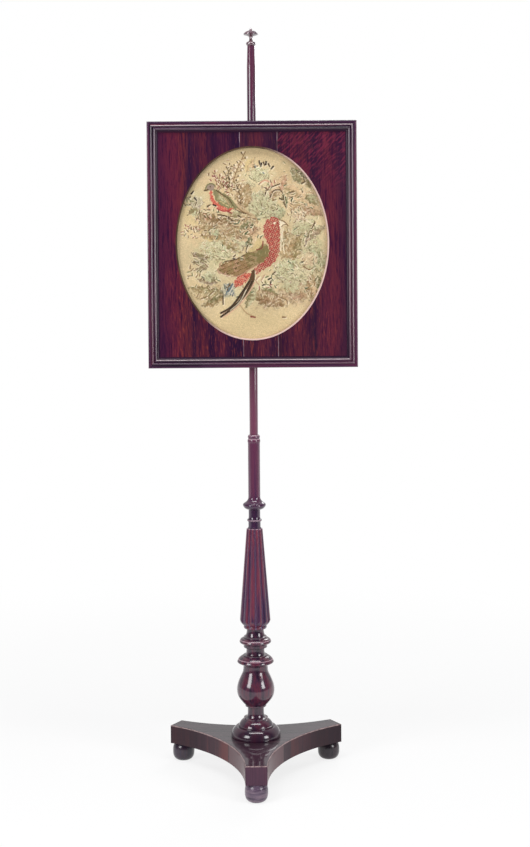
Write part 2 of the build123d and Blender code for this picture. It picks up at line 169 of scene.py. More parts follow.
def polishedRosewood(name, look):
    finish = Finish(name)
    where = finish.place(look["shift"], look["stretch"])
    fine = finish.place(look["shift"], [s if s == 1 else hairStretch for s in look["stretch"]])
    bands = finish.noise(where, look["bands"], 3.0, 0.5, 0.15)
    streaks = finish.noise(where, look["streaks"], 4.0, 0.6, 0.1)
    hairs = finish.noise(fine, 900.0, 2.0, 0.6)
    pores = hairs.stepUp(0.6, 0.7)
    figure = bands * 0.62 + streaks * 0.38
    wood = finish.ramp(figure, [
        (0.38, look["dark"]),
        (0.47, look["middle"]),
        (0.56, look["red"]),
        (0.64, look["middle"]),
    ])
    wood = finish.mix(pores * 0.55, wood, look["dark"])
    polish = look["polish"]
    if "coveFrom" in look:
        # painted shade: the inner cove of a moulding is darkened, and has less polish
        across, edge = look["across"], look["outerEdge"]
        inward = abs(finish.axis(across) - edge)
        cove = inward.stepUp(look["coveFrom"] - 0.0003, look["coveFrom"] + 0.0003) * look["coveShadeShare"]
        wood = finish.mix(cove, wood, look["coveShadeColour"])
        polish = polish * (1 - cove)
        for crest, share in zip(look["crests"], look["highlightShare"]):
            # painted highlight: the beads are pale along their crests
            highlightLine = 1 - abs(inward - crest).stepUp(*look["crestWidth"])
            wood = finish.mix(highlightLine * (0.6 + streaks * 0.5) * share, wood, look["highlightColour"])
    if "highlightTowards" in look:
        # painted highlight: the piece turns paler towards one side
        low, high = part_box(look["node"])
        x = (finish.axis("X") - (low.x + high.x) / 2) / ((high.x - low.x) / 2)
        z = (finish.axis("Z") - (low.z + high.z) / 2) / ((high.z - low.z) / 2)
        towards = x * look["highlightTowards"][0] + z * look["highlightTowards"][1]
        wood = finish.mix((towards + streaks * 0.2).stepUp(-0.25, 0.35), wood, look["highlightColour"])
    # a different colour below a height: darker on the baluster's skirt and round the socket's knop, which is
    # painted shade
    if "below" in look:
        low = 1 - finish.axis("Z").stepUp(*look["below"])
        wood = finish.mix(low * (0.45 + streaks * 0.6), wood, look["belowColour"])
    for place in look.get("highlightLinesAt", ()):
        # painted highlight: a pale line all round at each of these heights
        highlightLine = 1 - abs(finish.axis("Z") - place).stepUp(*look["highlightLineWidth"])
        wood = finish.mix(highlightLine * (0.3 + streaks * 0.7), wood, look["highlightLineColour"])
    if "reeds" in look:
        # painted shade: dark flanks beside each groove, and a pale line down each groove
        turn = streaks.maths("ARCTAN2", finish.axis("Y"), finish.axis("X"))
        depth = streaks.maths("COSINE", turn * look["reeds"] - look["grooveTurn"])
        wood = finish.mix(depth.stepUp(-0.1, 0.8) * 0.6, wood, look["dark"])
        wood = finish.mix(depth.stepUp(0.86, 0.97) * 0.7, wood, look["grooveLineColour"])
    return finish.surface({
        "Base Color": wood,
        "Roughness": 0.36 + pores * 0.25 + streaks * 0.1,
        "Normal": finish.bump(look.get("grainRelief", 0.12), 0.0002, streaks - pores * 0.6),
        "Specular IOR Level": look.get("sheen", 0.1),
        "Coat Weight": polish,
        "Coat Roughness": look["coatRoughness"],
        "Coat IOR": look.get("coatIor", 1.55),
    })


turnedWood = {
    "stretch": alongZ,
    "bands": 60.0,
    "streaks": 240.0,
    "dark": rgb(38, 20, 42),
    "middle": rgb(68, 36, 58),
    "red": rgb(92, 38, 56),
    "polish": 1.0,
    "coatRoughness": 0.13,
    "coatIor": 1.62,
    # painted highlight lines round the turnings: their colour and width
    "highlightLineColour": rgb(190, 158, 170),
    "highlightLineWidth": (0.0003, 0.0011),
    "grainRelief": 0.02,
}
turnings = {
    "stem_baluster": {
        # the skirt is darkened below its top: painted shade
        "shift": (0.3, 0.1, 0.0), "below": (0.078, 0.11), "belowColour": rgb(36, 18, 38),
        "highlightLinesAt": (0.2160, 0.2525),
    },
    "reeded_shaft": {
        "shift": (1.3, 0.2, 0.4), "dark": rgb(44, 26, 60), "middle": rgb(80, 42, 70), "red": rgb(114, 46, 64),
        "coatRoughness": 0.2, "polish": 0.7, "highlightLinesAt": (0.4642,),
        "reeds": 12, "grooveTurn": math.radians(36), "grooveLineColour": rgb(136, 112, 146),
    },
    "pole_socket": {
        "shift": (2.1, 0.6, 0.1), "dark": rgb(50, 28, 58), "middle": rgb(78, 42, 72), "red": rgb(96, 46, 72),
        # darkened from the knop down: painted shade under it
        "coatRoughness": 0.1, "polish": 0.9, "below": (0.500, 0.535), "belowColour": rgb(44, 24, 56),
        "highlightLinesAt": (0.4804, 0.6342, 0.6412),
    },
    "pole": {
        "shift": (3.4, 0.5, 0.9), "dark": rgb(48, 22, 46), "middle": rgb(72, 34, 60), "red": rgb(90, 38, 62),
        "coatRoughness": 0.1, "sheen": 0.15,
        "below": (0.70, 0.86), "belowColour": rgb(118, 64, 86),  # paler and redder towards the bottom
    },
    "finial": {"shift": (4.2, 0.7, 0.3), "coatRoughness": 0.25, "coatIor": 2.2, "sheen": 0.6},
    "foot_front": {
        "shift": (5.1, 0.3, 0.2), "stretch": (0.25, 0.25, 2.6), "coatRoughness": 0.25, "polish": 0.7,
        "dark": rgb(66, 50, 70), "middle": rgb(100, 82, 102), "red": rgb(118, 98, 112),
    },
    # the side feet take darker colours than the front foot: painted shade
    "foot_left": {
        "shift": (6.6, 0.4, 0.7), "dark": rgb(30, 22, 40), "middle": rgb(44, 32, 52), "red": rgb(54, 34, 50),
        "coatRoughness": 0.2, "polish": 0.8,
    },
    "foot_right": {
        "shift": (7.7, 0.8, 0.5), "dark": rgb(26, 18, 28), "middle": rgb(38, 28, 38), "red": rgb(46, 30, 38),
        "coatRoughness": 0.2, "polish": 0.7,
    },
}
for node, change in turnings.items():
    dress(node, polishedRosewood(node + "Wood", {**turnedWood, **change}))
print("turned wood polished")

# Platform: the sides are veneered with the grain upright, in lengths of different wood
platformWood = {
    "top": [(0.36, rgb(34, 22, 32)), (0.5, rgb(54, 38, 48)), (0.64, rgb(80, 56, 64))],
    "side": [
        (0.34, rgb(46, 28, 40)), (0.5, rgb(64, 40, 50)), (0.62, rgb(88, 48, 52)), (0.74, rgb(58, 36, 48)),
    ],
    "leg": rgb(58, 26, 46),  # the front leg's top
    "legTop": (-0.085, -0.045),  # which starts here, in y
    "end": rgb(84, 54, 76),  # and its end
    "legEnd": -0.1775,
    "inner": rgb(112, 84, 88),  # the lengths beside the front leg are greyer and paler
    "innerReach": 0.052,  # and end in a joint, this far from the middle
    "joint": (0.0003, 0.0010),  # where the dark line of the joint starts and stops fading
    "soft": 0.0006,  # how softly one wood gives way to the next
    "flush": rgb(108, 46, 44),  # redder wood beside the joints
    "flushReach": (0.056, 0.082),
    "dark": rgb(30, 20, 28),  # in the joints, and as painted shade towards the outer ends and the right
    "shadedEnds": (0.085, 0.125),
    "shadedRight": (0.05, 0.07),
    "edge": rgb(206, 178, 176),  # painted highlight along the top edge
    "arrisHighlight": (0.0019, 0.0010),  # from this far below the top
    "coatRoughness": 0.07,
    "lowAngle": (0.62, 0.69),  # where the top turns from satin to a mirror
}


def veneeredPlatform(name, look):
    finish = Finish(name)
    x, y, z = (finish.axis(letter) for letter in "XYZ")
    facing = finish.node("SeparateXYZ", None, {0: finish.node("TexCoord", output="Normal")}, output="Z")
    flat = abs(facing).stepUp(0.6, 0.8)
    topGrain = finish.noise(finish.place((0.2, 0.1, 0), (0.05, 1, 1)), 60.0, 4.0, 0.6)
    topStreaks = finish.noise(finish.place((0.2, 0.1, 0), (0.02, 1, 1)), 420.0, 3.0, 0.6)
    sideGrain = finish.noise(finish.place((0.5, 0.3, 0), (1, 1, 0.04)), 70.0, 4.0, 0.6)
    sideStreaks = finish.noise(finish.place((0.5, 0.3, 0), (1, 1, 0.03)), 520.0, 3.0, 0.65)
    broad = finish.noise(finish.place((0.8, 0.2, 0), (1, 1, 0.2)), 18.0, 3.0, 0.6)
    highlightShare = finish.noise(finish.place(), 160.0, 3.0, 0.6).stepUp(0.3, 0.6)
    top = finish.ramp(topGrain * 0.55 + topStreaks * 0.45, look["top"])
    side = finish.ramp(sideGrain * 0.3 + sideStreaks * 0.3 + broad * 0.4, look["side"])
    reach, soft, legEnd = look["innerReach"], look["soft"], look["legEnd"]
    pastEnd = y.stepUp(legEnd - soft / 2, legEnd)
    inner = (1 - abs(x).stepUp(reach - soft, reach + soft)) * pastEnd
    joint = 1 - abs(abs(x) - reach).stepUp(*look["joint"])
    outside = abs(x).stepUp(reach, reach + soft)
    flush = outside * (1 - abs(x).stepUp(*look["flushReach"])) * broad.stepUp(0.42, 0.58)
    # painted shade towards the outer ends and the right side
    far = abs(x).stepUp(*look["shadedEnds"]) * 0.5 + x.stepUp(*look["shadedRight"]) * 0.2
    for share, colour in (
        (inner * (0.35 + sideStreaks * 0.5), "inner"),
        (joint * 0.8, "dark"),
        (flush * 0.6, "flush"),
        (far, "dark"),
        ((1 - pastEnd) * (0.25 + sideStreaks * 0.6), "end"),
    ):
        side = finish.mix(share, side, look[colour])
    wood = finish.mix(flat, side, top)
    wood = finish.mix(flat * (1 - y.stepUp(*look["legTop"])) * 0.7, wood, look["leg"])
    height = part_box("base_platform")[1].z
    # painted highlight along the top edge of the sides, in patches
    arrisHighlight = z.stepUp(*(height - below for below in look["arrisHighlight"])) * (1 - flat)
    wood = finish.mix(arrisHighlight * (highlightShare * 0.5 + 0.4), wood, look["edge"])
    glance = finish.node("LayerWeight", None, {"Blend": 0.5}, "Facing")
    return finish.surface({
        "Base Color": wood,
        "Roughness": 0.4 + sideStreaks * 0.15,
        "Normal": finish.bump(0.12, 0.0002, sideStreaks),
        "Specular IOR Level": 0.1,
        # satin from above, and a mirror at a low angle
        "Coat Weight": 0.3 + flat * (glance.stepUp(*look["lowAngle"]) * 0.84 - 0.25),
        "Coat Roughness": look["coatRoughness"],
    })


dress("base_platform", veneeredPlatform("platformWood", platformWood))

# Frame: each length has its own piece of wood, with the grain along it
mouldingWood = {
    "stretch": alongX,
    "bands": 40.0,
    "streaks": 260.0,
    "dark": rgb(34, 16, 38),
    "middle": rgb(64, 34, 62),
    "red": rgb(86, 38, 62),
    "polish": 1.0,
    "coatRoughness": 0.12,
    "coveFrom": 0.0162,  # from the outer edge
    # the cove's painted shade: its colour and how strongly it is laid
    "coveShadeColour": rgb(38, 18, 38),
    "coveShadeShare": 0.85,
    "crests": (0.0080, 0.0152),  # the beads' tops, from the same edge
    "crestWidth": (0.0004, 0.0013),
    # the colour of the painted highlight along the crests
    "highlightColour": rgb(190, 172, 176),
}
frameLengths = {
    # each length's last pair is the strength of the painted highlight on its two bead crests
    "frame_top_rail": {"shift": (0.2, 0.4, 0.3), "red": rgb(112, 30, 56), "across": "Z", "highlightShare": (0.7, 0.15)},
    "frame_bottom_rail": {"shift": (0.9, 1.4, 0.8), "across": "Z", "highlightShare": (0.1, 0.8)},
    "frame_left_stile": {"shift": (1.6, 2.4, 1.3), "stretch": alongZ, "across": "X", "highlightShare": (0.1, 0.3)},
    "frame_right_stile": {"shift": (2.3, 3.4, 1.8), "stretch": alongZ, "across": "X", "highlightShare": (0.25, 0.15)},
}
frameEdges = {
    "frame_top_rail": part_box("frame_top_rail")[1].z,
    "frame_bottom_rail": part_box("frame_bottom_rail")[0].z,
    "frame_left_stile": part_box("frame_left_stile")[0].x,
    "frame_right_stile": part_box("frame_right_stile")[1].x,
}
for node, change in frameLengths.items():
    dress(node, polishedRosewood(node + "Wood", {**mouldingWood, **change, "outerEdge": frameEdges[node]}))

ovalSlip = {
    "shift": (0.1, 0.2, 0.3),
    "stretch": alongZ,
    "bands": 60.0,
    "streaks": 300.0,
    "dark": rgb(52, 38, 30),
    "middle": rgb(70, 52, 40),
    "red": rgb(86, 62, 48),
    "highlightColour": rgb(206, 176, 168),  # painted highlight, pale towards the lower right
    "highlightTowards": (0.9, -0.45),
    "node": "oval_slip",
    "polish": 0.7,
    "coatRoughness": 0.15,
}
dress("oval_slip", polishedRosewood("slipWood", ovalSlip))
print("frame and slip polished")

# Veneer: broad bands across each leaf, streaks, and open seams.
# Places across the panel are in metres from its upright middle.
veneerLeaves = {
    "veneer_leaf_left": {
        "shift": (0.0, 0.3, 0.1),
        "bands": [
            (-0.188, rgb(48, 18, 50)), (-0.166, rgb(66, 22, 50)), (-0.142, rgb(86, 28, 48)),
            (-0.122, rgb(88, 34, 44)), (-0.108, rgb(42, 18, 46)), (-0.094, rgb(78, 28, 44)),
            (-0.076, rgb(42, 16, 44)), (-0.056, rgb(72, 26, 48)), (-0.030, rgb(40, 16, 44)),
        ],
        "orange": 0.34,
        "curl": False,
    },
    "veneer_leaf_centre": {
        "shift": (0.9, 0.6, 0.5),
        "bands": [
            (-0.023, rgb(74, 32, 48)), (-0.004, rgb(50, 24, 44)), (0.012, rgb(78, 30, 46)),
            (0.030, rgb(60, 26, 48)), (0.046, rgb(44, 22, 42)),
        ],
        "orange": 0.3,
        "curl": False,
    },
    "veneer_leaf_right": {
        "shift": (1.9, 0.9, 1.3),
        "bands": [
            (0.048, rgb(50, 24, 40)), (0.072, rgb(72, 28, 46)), (0.096, rgb(82, 32, 46)),
            (0.112, rgb(42, 22, 44)), (0.130, rgb(84, 32, 50)), (0.152, rgb(86, 32, 48)),
            (0.168, rgb(58, 26, 48)), (0.180, rgb(74, 32, 54)), (0.188, rgb(44, 24, 46)),
        ],
        "orange": 0.25,
        "curl": True,
    },
}
veneerPolish = {
    "orange": rgb(150, 62, 48),
    "flame": rgb(178, 84, 58),
    "black": rgb(40, 12, 44),
    "crack": rgb(150, 130, 140),
    "curlColour": rgb(118, 38, 62),
    "curlHeight": (1.08, 1.17),  # where the curly figure sets in
}
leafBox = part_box("veneer_leaf_left")
seams = [
    # x at the foot and at the head of the panel, and how wide the filler shows there
    {"foot": -0.0175, "head": -0.0230, "width": 0.0005},
    {"foot": 0.0476, "head": 0.0476, "width": 0.0004},
]


def figuredVeneer(name, leaf):
    finish = Finish(name)
    look = veneerPolish

    def grain(stretch, scale, detail, rough=0.5, lean=0, bend=0.0):
        return finish.noise(finish.place(leaf["shift"], stretch, lean), scale, detail, rough, bend)

    x, z = finish.axis("X"), finish.axis("Z")
    slow = grain((1, 1, 0.18), 16.0, 2.0)
    wander = grain((1, 1, 0.07), 90.0, 3.0, 0.6)
    streaks = grain((1, 1, 0.07), 330.0, 4.0, 0.65)
    fine = grain((1, 1, 0.09), 620.0, 3.0, 0.6, 3)
    pores = grain((1, 1, 0.03), 1300.0, 2.0).stepUp(0.62, 0.72)
    across = x + (slow - 0.5) * 0.05 + (wander - 0.5) * 0.022
    low, high = leaf["bands"][0][0], leaf["bands"][-1][0]
    stops = [((place - low) / (high - low), colour) for place, colour in leaf["bands"]]
    wood = finish.ramp((across - low) / (high - low), stops)
    # less orange towards the stiles and the head
    warm = (1 - abs(x).stepUp(0.130, 0.175) * 0.8) * (1 - z.stepUp(0.85, 1.12) * 0.65) * leaf["orange"]
    shades = [
        (streaks.stepUp(0.54, 0.72) * warm, "orange"),
        ((1 - streaks).stepUp(0.5, 0.66) * 0.75, "black"),
        (fine.stepUp(0.56, 0.7) * warm * 0.9, "flame"),
        ((1 - fine).stepUp(0.54, 0.68) * 0.6, "black"),
    ]
    if leaf["curl"]:
        # short ripples that climb to the right, in the upper part of the leaf
        ripple = grain((0.2, 1, 1), 400.0, 2.0, 0.5, 46, 0.2)
        upper = z.stepUp(*look["curlHeight"])
        shades += [
            (ripple.stepUp(0.5, 0.62) * upper * 0.46, "curlColour"),
            ((1 - ripple).stepUp(0.5, 0.62) * upper * 0.5, "black"),
        ]
    shades.append((pores * 0.5, "black"))
    for share, colour in shades:
        wood = finish.mix(share, wood, look[colour])
    rise = (z - leafBox[0].z) / (leafBox[1].z - leafBox[0].z)
    crooked = grain((1, 1, 1), 60.0, 2.0) * 0.0012 - 0.0006
    broken = finish.noise(finish.place((0.4, 0.1, 0.2)), 45.0, 2.0).stepUp(0.4, 0.6)
    for seam in seams:
        line = seam["foot"] + rise * (seam["head"] - seam["foot"])
        gap = 1 - abs(x - line - crooked).stepUp(seam["width"] * 0.6, seam["width"] * 1.6)
        wood = finish.mix(gap * (broken * 0.6 + 0.3), wood, look["crack"])
    return finish.surface({
        "Base Color": wood,
        "Roughness": 0.34 + pores * 0.2 + streaks * 0.1,
        "Normal": finish.bump(0.1, 0.0002, streaks - pores * 0.5),
        "Specular IOR Level": 0.08,
        "Coat Weight": 0.3,
        "Coat Roughness": 0.2,
    })


for node, leaf in veneerLeaves.items():
    dress(node, figuredVeneer(node + "Wood", leaf))
print("veneer figured")

# Oiled mahogany, for the boards behind
boardWood = {
    "dark": rgb(74, 38, 22),
    "middle": rgb(116, 64, 38),
    "light": rgb(140, 84, 52),
    "dust": rgb(128, 104, 84),
    "poreStretch": 0.02,
}


def oiledMahogany(name, look, stretch, shift):
    finish = Finish(name)
    where = finish.place(shift, stretch)
    bands = finish.noise(where, 26.0, 3.0, 0.5, 0.6)
    streaks = finish.noise(where, 260.0, 4.0, 0.65)
    fine = finish.place(shift, [s if s == 1 else look["poreStretch"] for s in stretch])
    pores = finish.noise(fine, 1100.0, 2.0).stepUp(0.58, 0.66)
    wood = finish.ramp(bands * 0.6 + streaks * 0.4, [
        (0.36, look["dark"]), (0.5, look["middle"]), (0.64, look["light"]),
    ])
    wood = finish.mix(pores * 0.6, wood, look["dark"])
    patches = finish.noise(finish.place(shift), 7.0, 4.0, 0.6).stepUp(0.5, 0.75)
    wood = finish.mix(patches * 0.35, wood, look["dust"])
    return finish.surface({
        "Base Color": wood,
        "Roughness": 0.52 + patches * 0.2,
        "Normal": finish.bump(0.25, 0.0003, streaks - pores * 0.7),
        "Specular IOR Level": 0.35,
    })


boards = {
    "ground_board": (alongX, (0.2, 0.5, 0.4)),
    "canvas_board": (alongZ, (1.2, 0.9, 0.1)),
    "backboard": (alongZ, (2.2, 0.3, 0.8)),
    "tenon_wedge": (alongZ, (3.2, 0.1, 0.2)),
}
for node, (stretch, shift) in boards.items():
    dress(node, oiledMahogany(node + "Wood", boardWood, stretch, shift))

# Old lacquered brass, browner where hands don't rub it
oldBrass = {
    "bright": rgb(196, 158, 88),
    "dull": rgb(132, 100, 58),
    "brown": rgb(82, 60, 40),
}


def dulledBrass(name, look):
    finish = Finish(name)
    clouds = finish.noise(finish.place(), 140.0, 4.0, 0.6)
    specks = finish.noise(finish.place((0.5, 0.2, 0.1)), 900.0, 3.0, 0.7).stepUp(0.6, 0.72)
    metal = finish.ramp(clouds, [(0.34, look["dull"]), (0.6, look["bright"])])
    metal = finish.mix(specks * 0.5, metal, look["brown"])
    return finish.surface({
        "Base Color": metal,
        "Metallic": 1.0 - specks * 0.4,
        "Roughness": 0.3 + clouds * 0.25,
        "Normal": finish.bump(0.15, 0.0001, clouds),
    })


brass = dulledBrass("oldBrass", oldBrass)
for node in ("upper_bracket", "lower_bracket", "thumbscrew"):
    dress(node, brass)

# Slotted screw heads, each turned its own way
screwHead = {
    "radius": 0.0027,
    "height": 0.0013,
    "slotWidth": 0.0007,
    "slotDepth": 0.0007,
    "slotFloor": 0.0004,  # the head stays whole below this
    "shank": 0.0011,
    "point": 0.001,
    "segments": 28,
    "domeRings": 6,
    "turn": 1.3,  # from one head to the next
}


def slottedScrews(name, node, body):
    look = screwHead
    low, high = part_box(node)
    seat = high.y - look["height"]
    length = high.y - low.y
    source = nodes[node].data
    heads = sorted({(round(v.co.x, 3), round(v.co.z, 3)) for v in source.vertices if v.co.y < low.y + 1e-5})
    shank, tip = look["shank"], look["height"] - length
    outline = [(0.0, tip), (shank, tip + look["point"]), (shank, 0.0), (look["radius"], 0.0)]
    for step in range(look["domeRings"]):
        angle = (step + 1) / look["domeRings"] * math.pi / 2
        outline.append((look["radius"] * math.cos(angle), look["height"] * math.sin(angle)))
    mesh = bmesh.new()
    for number, (x, z) in enumerate(heads):
        turn = number * look["turn"]
        rings = []
        for radius, rise in outline:
            ring = []
            for segment in range(look["segments"]):
                angle = segment / look["segments"] * 2 * math.pi
                across, along = radius * math.cos(angle), radius * math.sin(angle)
                # the slot is pressed into the dome's upper rings
                slotted = rise > look["slotFloor"] and abs(along) < look["slotWidth"] / 2
                ring.append(mesh.verts.new((
                    x + across * math.cos(turn) - along * math.sin(turn),
                    seat + rise - (look["slotDepth"] if slotted else 0.0),
                    z + across * math.sin(turn) + along * math.cos(turn),
                )))
            rings.append(ring)
        for lower, upper in zip(rings, rings[1:]):
            for segment in range(look["segments"]):
                following = (segment + 1) % look["segments"]
                mesh.faces.new((lower[segment], lower[following], upper[following], upper[segment]))
    bmesh.ops.remove_doubles(mesh, verts=mesh.verts, dist=1e-6)
    bmesh.ops.recalc_face_normals(mesh, faces=mesh.faces)
    data = bpy.data.meshes.new(name)
    mesh.to_mesh(data)
    mesh.free()
    data.materials.append(brass)
    for face in data.polygons:
        face.use_smooth = True
    screws = bpy.data.objects.new(name, data)
    bpy.context.scene.collection.objects.link(screws)
    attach(screws, body)
    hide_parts(node)


slottedScrews("backboardScrewHeads", "backboard_screws", "screen_panel")
slottedScrews("bracketScrewHeads", "bracket_screws", "screen_panel")
print("brass and boards finished")

# Needlework: wool stitches on canvas, a bird-and-blossom pattern.
# Every place is in millimetres from the oval's centre, x to the right and z up.
# Each row of a table is one motif: what the call under the table takes, in its order.
needlework = {
    "gauge": 1.4,  # one stitch
    "ground": (218, 196, 154),
    "seed": 7,
    "relief": 0.00012,
}
wools = {
    "white": (244, 230, 200), "cream": (228, 210, 172), "straw": (216, 192, 140), "sand": (204, 178, 134),
    "tan": (180, 150, 108), "fawn": (190, 160, 122), "brown": (132, 100, 66), "umber": (90, 68, 46),
    "black": (50, 38, 32), "olive": (138, 124, 80), "moss": (122, 120, 80), "green": (72, 90, 62),
    "sage": (192, 188, 146), "mint": (178, 188, 148), "milk": (218, 210, 170), "grey": (142, 136, 102),
    "slate": (104, 118, 124), "coral": (206, 100, 82), "red": (172, 70, 68), "wine": (134, 54, 54),
    "pink": (212, 156, 128), "peach": (216, 186, 146), "rose": (184, 146, 118), "mauve": (158, 138, 122),
}


class Canvas:
    # a grid of stitches that motifs are worked on
    def __init__(self, width, height, lift, look):
        self.columns, self.rows = round(width / look["gauge"]), round(height / look["gauge"])
        across = (np.arange(self.columns) + 0.5) / self.columns * width - width / 2
        upward = (np.arange(self.rows) + 0.5) / self.rows * height - height / 2 + lift
        self.x, self.z = np.meshgrid(across, upward)
        self.rng = np.random.default_rng(look["seed"])
        self.wool = np.empty((self.rows, self.columns, 3))
        self.wool[:] = look["ground"]
        # outlines waver a little, as counted stitches do
        self.wavyX = self.x + 0.9 * np.sin(self.z * 0.61 + 1.0) + 0.7 * np.sin(self.z * 1.37 + self.x * 0.5)
        self.wavyZ = self.z + 0.9 * np.sin(self.x * 0.57 + 2.0) + 0.7 * np.sin(self.x * 1.21 - self.z * 0.4)

    def lay(self, cover, name):
        # works one wool over what is there; cover runs from 0 to 1
        cover = np.clip(np.asarray(cover, float), 0, 1)[..., None]
        self.wool = self.wool * (1 - cover) + np.array(wools[name], float) * cover

    def speckle(self, mask, share, name):
        self.lay(mask & (self.rng.random(self.x.shape) < share), name)

    def patches(self, size):
        # soft random patches some stitches wide, from 0 to 1
        grid = self.rng.random((int(self.rows / size) + 2, int(self.columns / size) + 2))
        across, upward = np.arange(self.columns) / size, np.arange(self.rows) / size
        wide = np.array([np.interp(across, np.arange(grid.shape[1]), line) for line in grid])
        return np.array([np.interp(upward, np.arange(grid.shape[0]), line) for line in wide.T]).T

    def mottle(self, mask, size, cover, *names):
        # each wool comes up here and there in what is already worked
        for name in names:
            self.lay(mask * np.clip((self.patches(size) - 0.58) / 0.16, 0, 1) * cover, name)

    def wash(self, x, z, wide, high, name, cover=0.6, lean=0.0):
        # a shaded patch with soft edges
        turn = math.radians(lean)
        dx, dz = self.wavyX - x, self.wavyZ - z
        along = (dx * math.cos(turn) + dz * math.sin(turn)) / wide
        across = (dz * math.cos(turn) - dx * math.sin(turn)) / high
        ripple = 0.12 * np.sin(self.x * 0.33 + z) * np.sin(self.z * 0.29 + x)
        self.lay(np.clip(1.5 - 1.5 * np.hypot(along, across) + ripple * 3, 0, 1) * cover, name)

    def inside(self, outline):
        points = rounded(outline)
        result = np.zeros(self.x.shape, bool)
        for (x1, z1), (x2, z2) in zip(points, points[1:] + points[:1]):
            if z1 != z2:
                crosses = (z1 > self.wavyZ) != (z2 > self.wavyZ)
                result ^= crosses & (self.wavyX < (x2 - x1) * (self.wavyZ - z1) / (z2 - z1) + x1)
        return result

    def near(self, points, width, tipWidth=None):
        # how far a stitch is covered by a line, which may taper to its tip
        tipWidth = width if tipWidth is None else tipWidth
        result = np.zeros(self.x.shape)
        count = max(len(points) - 1, 1)
        for number, ((x1, z1), (x2, z2)) in enumerate(zip(points, points[1:])):
            dx, dz = x2 - x1, z2 - z1
            span = max(dx * dx + dz * dz, 1e-6)
            share = np.clip(((self.x - x1) * dx + (self.z - z1) * dz) / span, 0, 1)
            away = np.hypot(self.x - x1 - share * dx, self.z - z1 - share * dz)
            wide = width + (tipWidth - width) * (number + share) / count
            result = np.maximum(result, np.clip((wide / 2 - away) / 0.9 + 0.5, 0, 1))
        return result

    def stem(self, points, width, name, tipWidth=None, shine=None):
        # a worked line, with a paler one close beside it where shine names a wool, which stands as a painted
        # highlight
        line = curved(points)
        if shine:
            beside = [(x + 1.5, z - 1.5) for x, z in line]
            self.lay(self.near(beside, width * 1.1, tipWidth) * 0.8, shine)
        self.lay(self.near(line, width, tipWidth), name)

    def leaf(self, x, z, tipX, tipZ, width, shades, lobes=4, veins=0.5):
        # a lobed leaf with a pale edge: one half light, the other dark, and ribs between
        light, dark = shades.split()
        dx, dz = tipX - x, tipZ - z
        length = math.hypot(dx, dz)
        along = ((self.wavyX - x) * dx + (self.wavyZ - z) * dz) / length / length
        across = ((self.wavyZ - z) * dx - (self.wavyX - x) * dz) / length
        across = across - width * 0.14 * np.sin(np.pi * np.clip(along, 0, 1))
        safe = np.clip(along, 0, 1)
        half = width / 2 * np.sin(np.pi * safe ** 0.8) * (0.74 + 0.34 * np.abs(np.sin(lobes * np.pi * safe)))
        inner = (along > 0) & (along < 1)
        cover = np.clip((half - np.abs(across)) / 1.2 + 0.5, 0, 1) * inner
        edge = np.clip((half + 2.0 - np.abs(across)) / 1.2, 0, 1) * inner
        self.lay(edge * 0.55, "white")
        self.lay(cover, light)
        shade = np.clip(0.5 - across / max(width * 0.35, 1), 0, 1)
        self.lay(cover * shade * 0.85, dark)
        ribs = np.abs(np.sin(lobes * 2 * np.pi * safe + np.abs(across) * 0.35)) < 0.25
        self.lay(cover * ribs * (np.abs(across) > 1.2) * veins * 0.6, dark)
        self.lay(cover * (np.abs(across) < 0.9) * veins, "brown")
        self.lay(cover * (across < 1.6 - half) * 0.55, "brown")

    def blossom(self, x, z, radius, petals, shades, turn=0.0, flat=1.0):
        # a full flower: rows of scalloped petals, pale at the rim and shaded behind it
        light, middle, dark = shades.split()
        dx, dz = self.wavyX - x, (self.wavyZ - z) / flat
        reach, angle = np.hypot(dx, dz), np.arctan2(dz, dx) + turn
        for row, size in enumerate((1.0, 0.74, 0.48, 0.25)):
            count = max(petals - row * 2, 3)
            bend = angle + row * 0.8 + 0.25 * np.sin(reach * 0.3)
            rim = radius * size * (0.84 + 0.16 * np.abs(np.cos(count * bend / 2)))
            cover = np.clip((rim - reach) / 1.4 + 0.5, 0, 1)
            share = np.clip(reach / rim, 0, 1)
            self.lay(cover, middle)
            self.lay(cover * np.clip(share * 2.4 - 1.2, 0, 1), light)
            self.lay(cover * (share > 0.9) * (np.sin(bend * 3 + row) > 0.2) * 0.6, "white")
            between = np.abs(np.cos(count * bend / 2)) < 0.16
            self.lay(cover * between * (share > 0.55) * 0.8, dark)
            self.lay(cover * (share > 0.9) * (dz < 0) * 0.85, dark)
        self.lay(np.clip(1.3 - reach / (radius * 0.16), 0, 1) * 0.7, dark)

    def strokes(self, middleX, middleZ, wide, high, count, length, width, shades, lean=None):
        # loose pairs of stitches, a dark one with a pale one beside it, the pale one worked in wool as a
        # painted highlight
        names = shades.split()
        for _ in range(count):
            x = middleX + self.rng.uniform(-1, 1) * wide
            z = middleZ + self.rng.uniform(-1, 1) * high
            if lean is None:
                heading = self.rng.uniform(0, math.pi)
            else:
                heading = math.radians(lean) + self.rng.normal(0, 0.5)
            dark = [(x, z), ahead(x, z, length * self.rng.uniform(0.6, 1.3), heading)]
            side = 1.6 if self.rng.random() < 0.5 else -1.6
            pale = [(x - side * math.sin(heading), z + side * math.cos(heading)) for x, z in dark]
            self.lay(self.near(pale, width, width * 0.6) * 0.75, "white")
            self.lay(self.near(dark, width, width * 0.7) * 0.9, names[self.rng.integers(len(names))])

    def sprig(self, points, twigs, length, stem, bud):
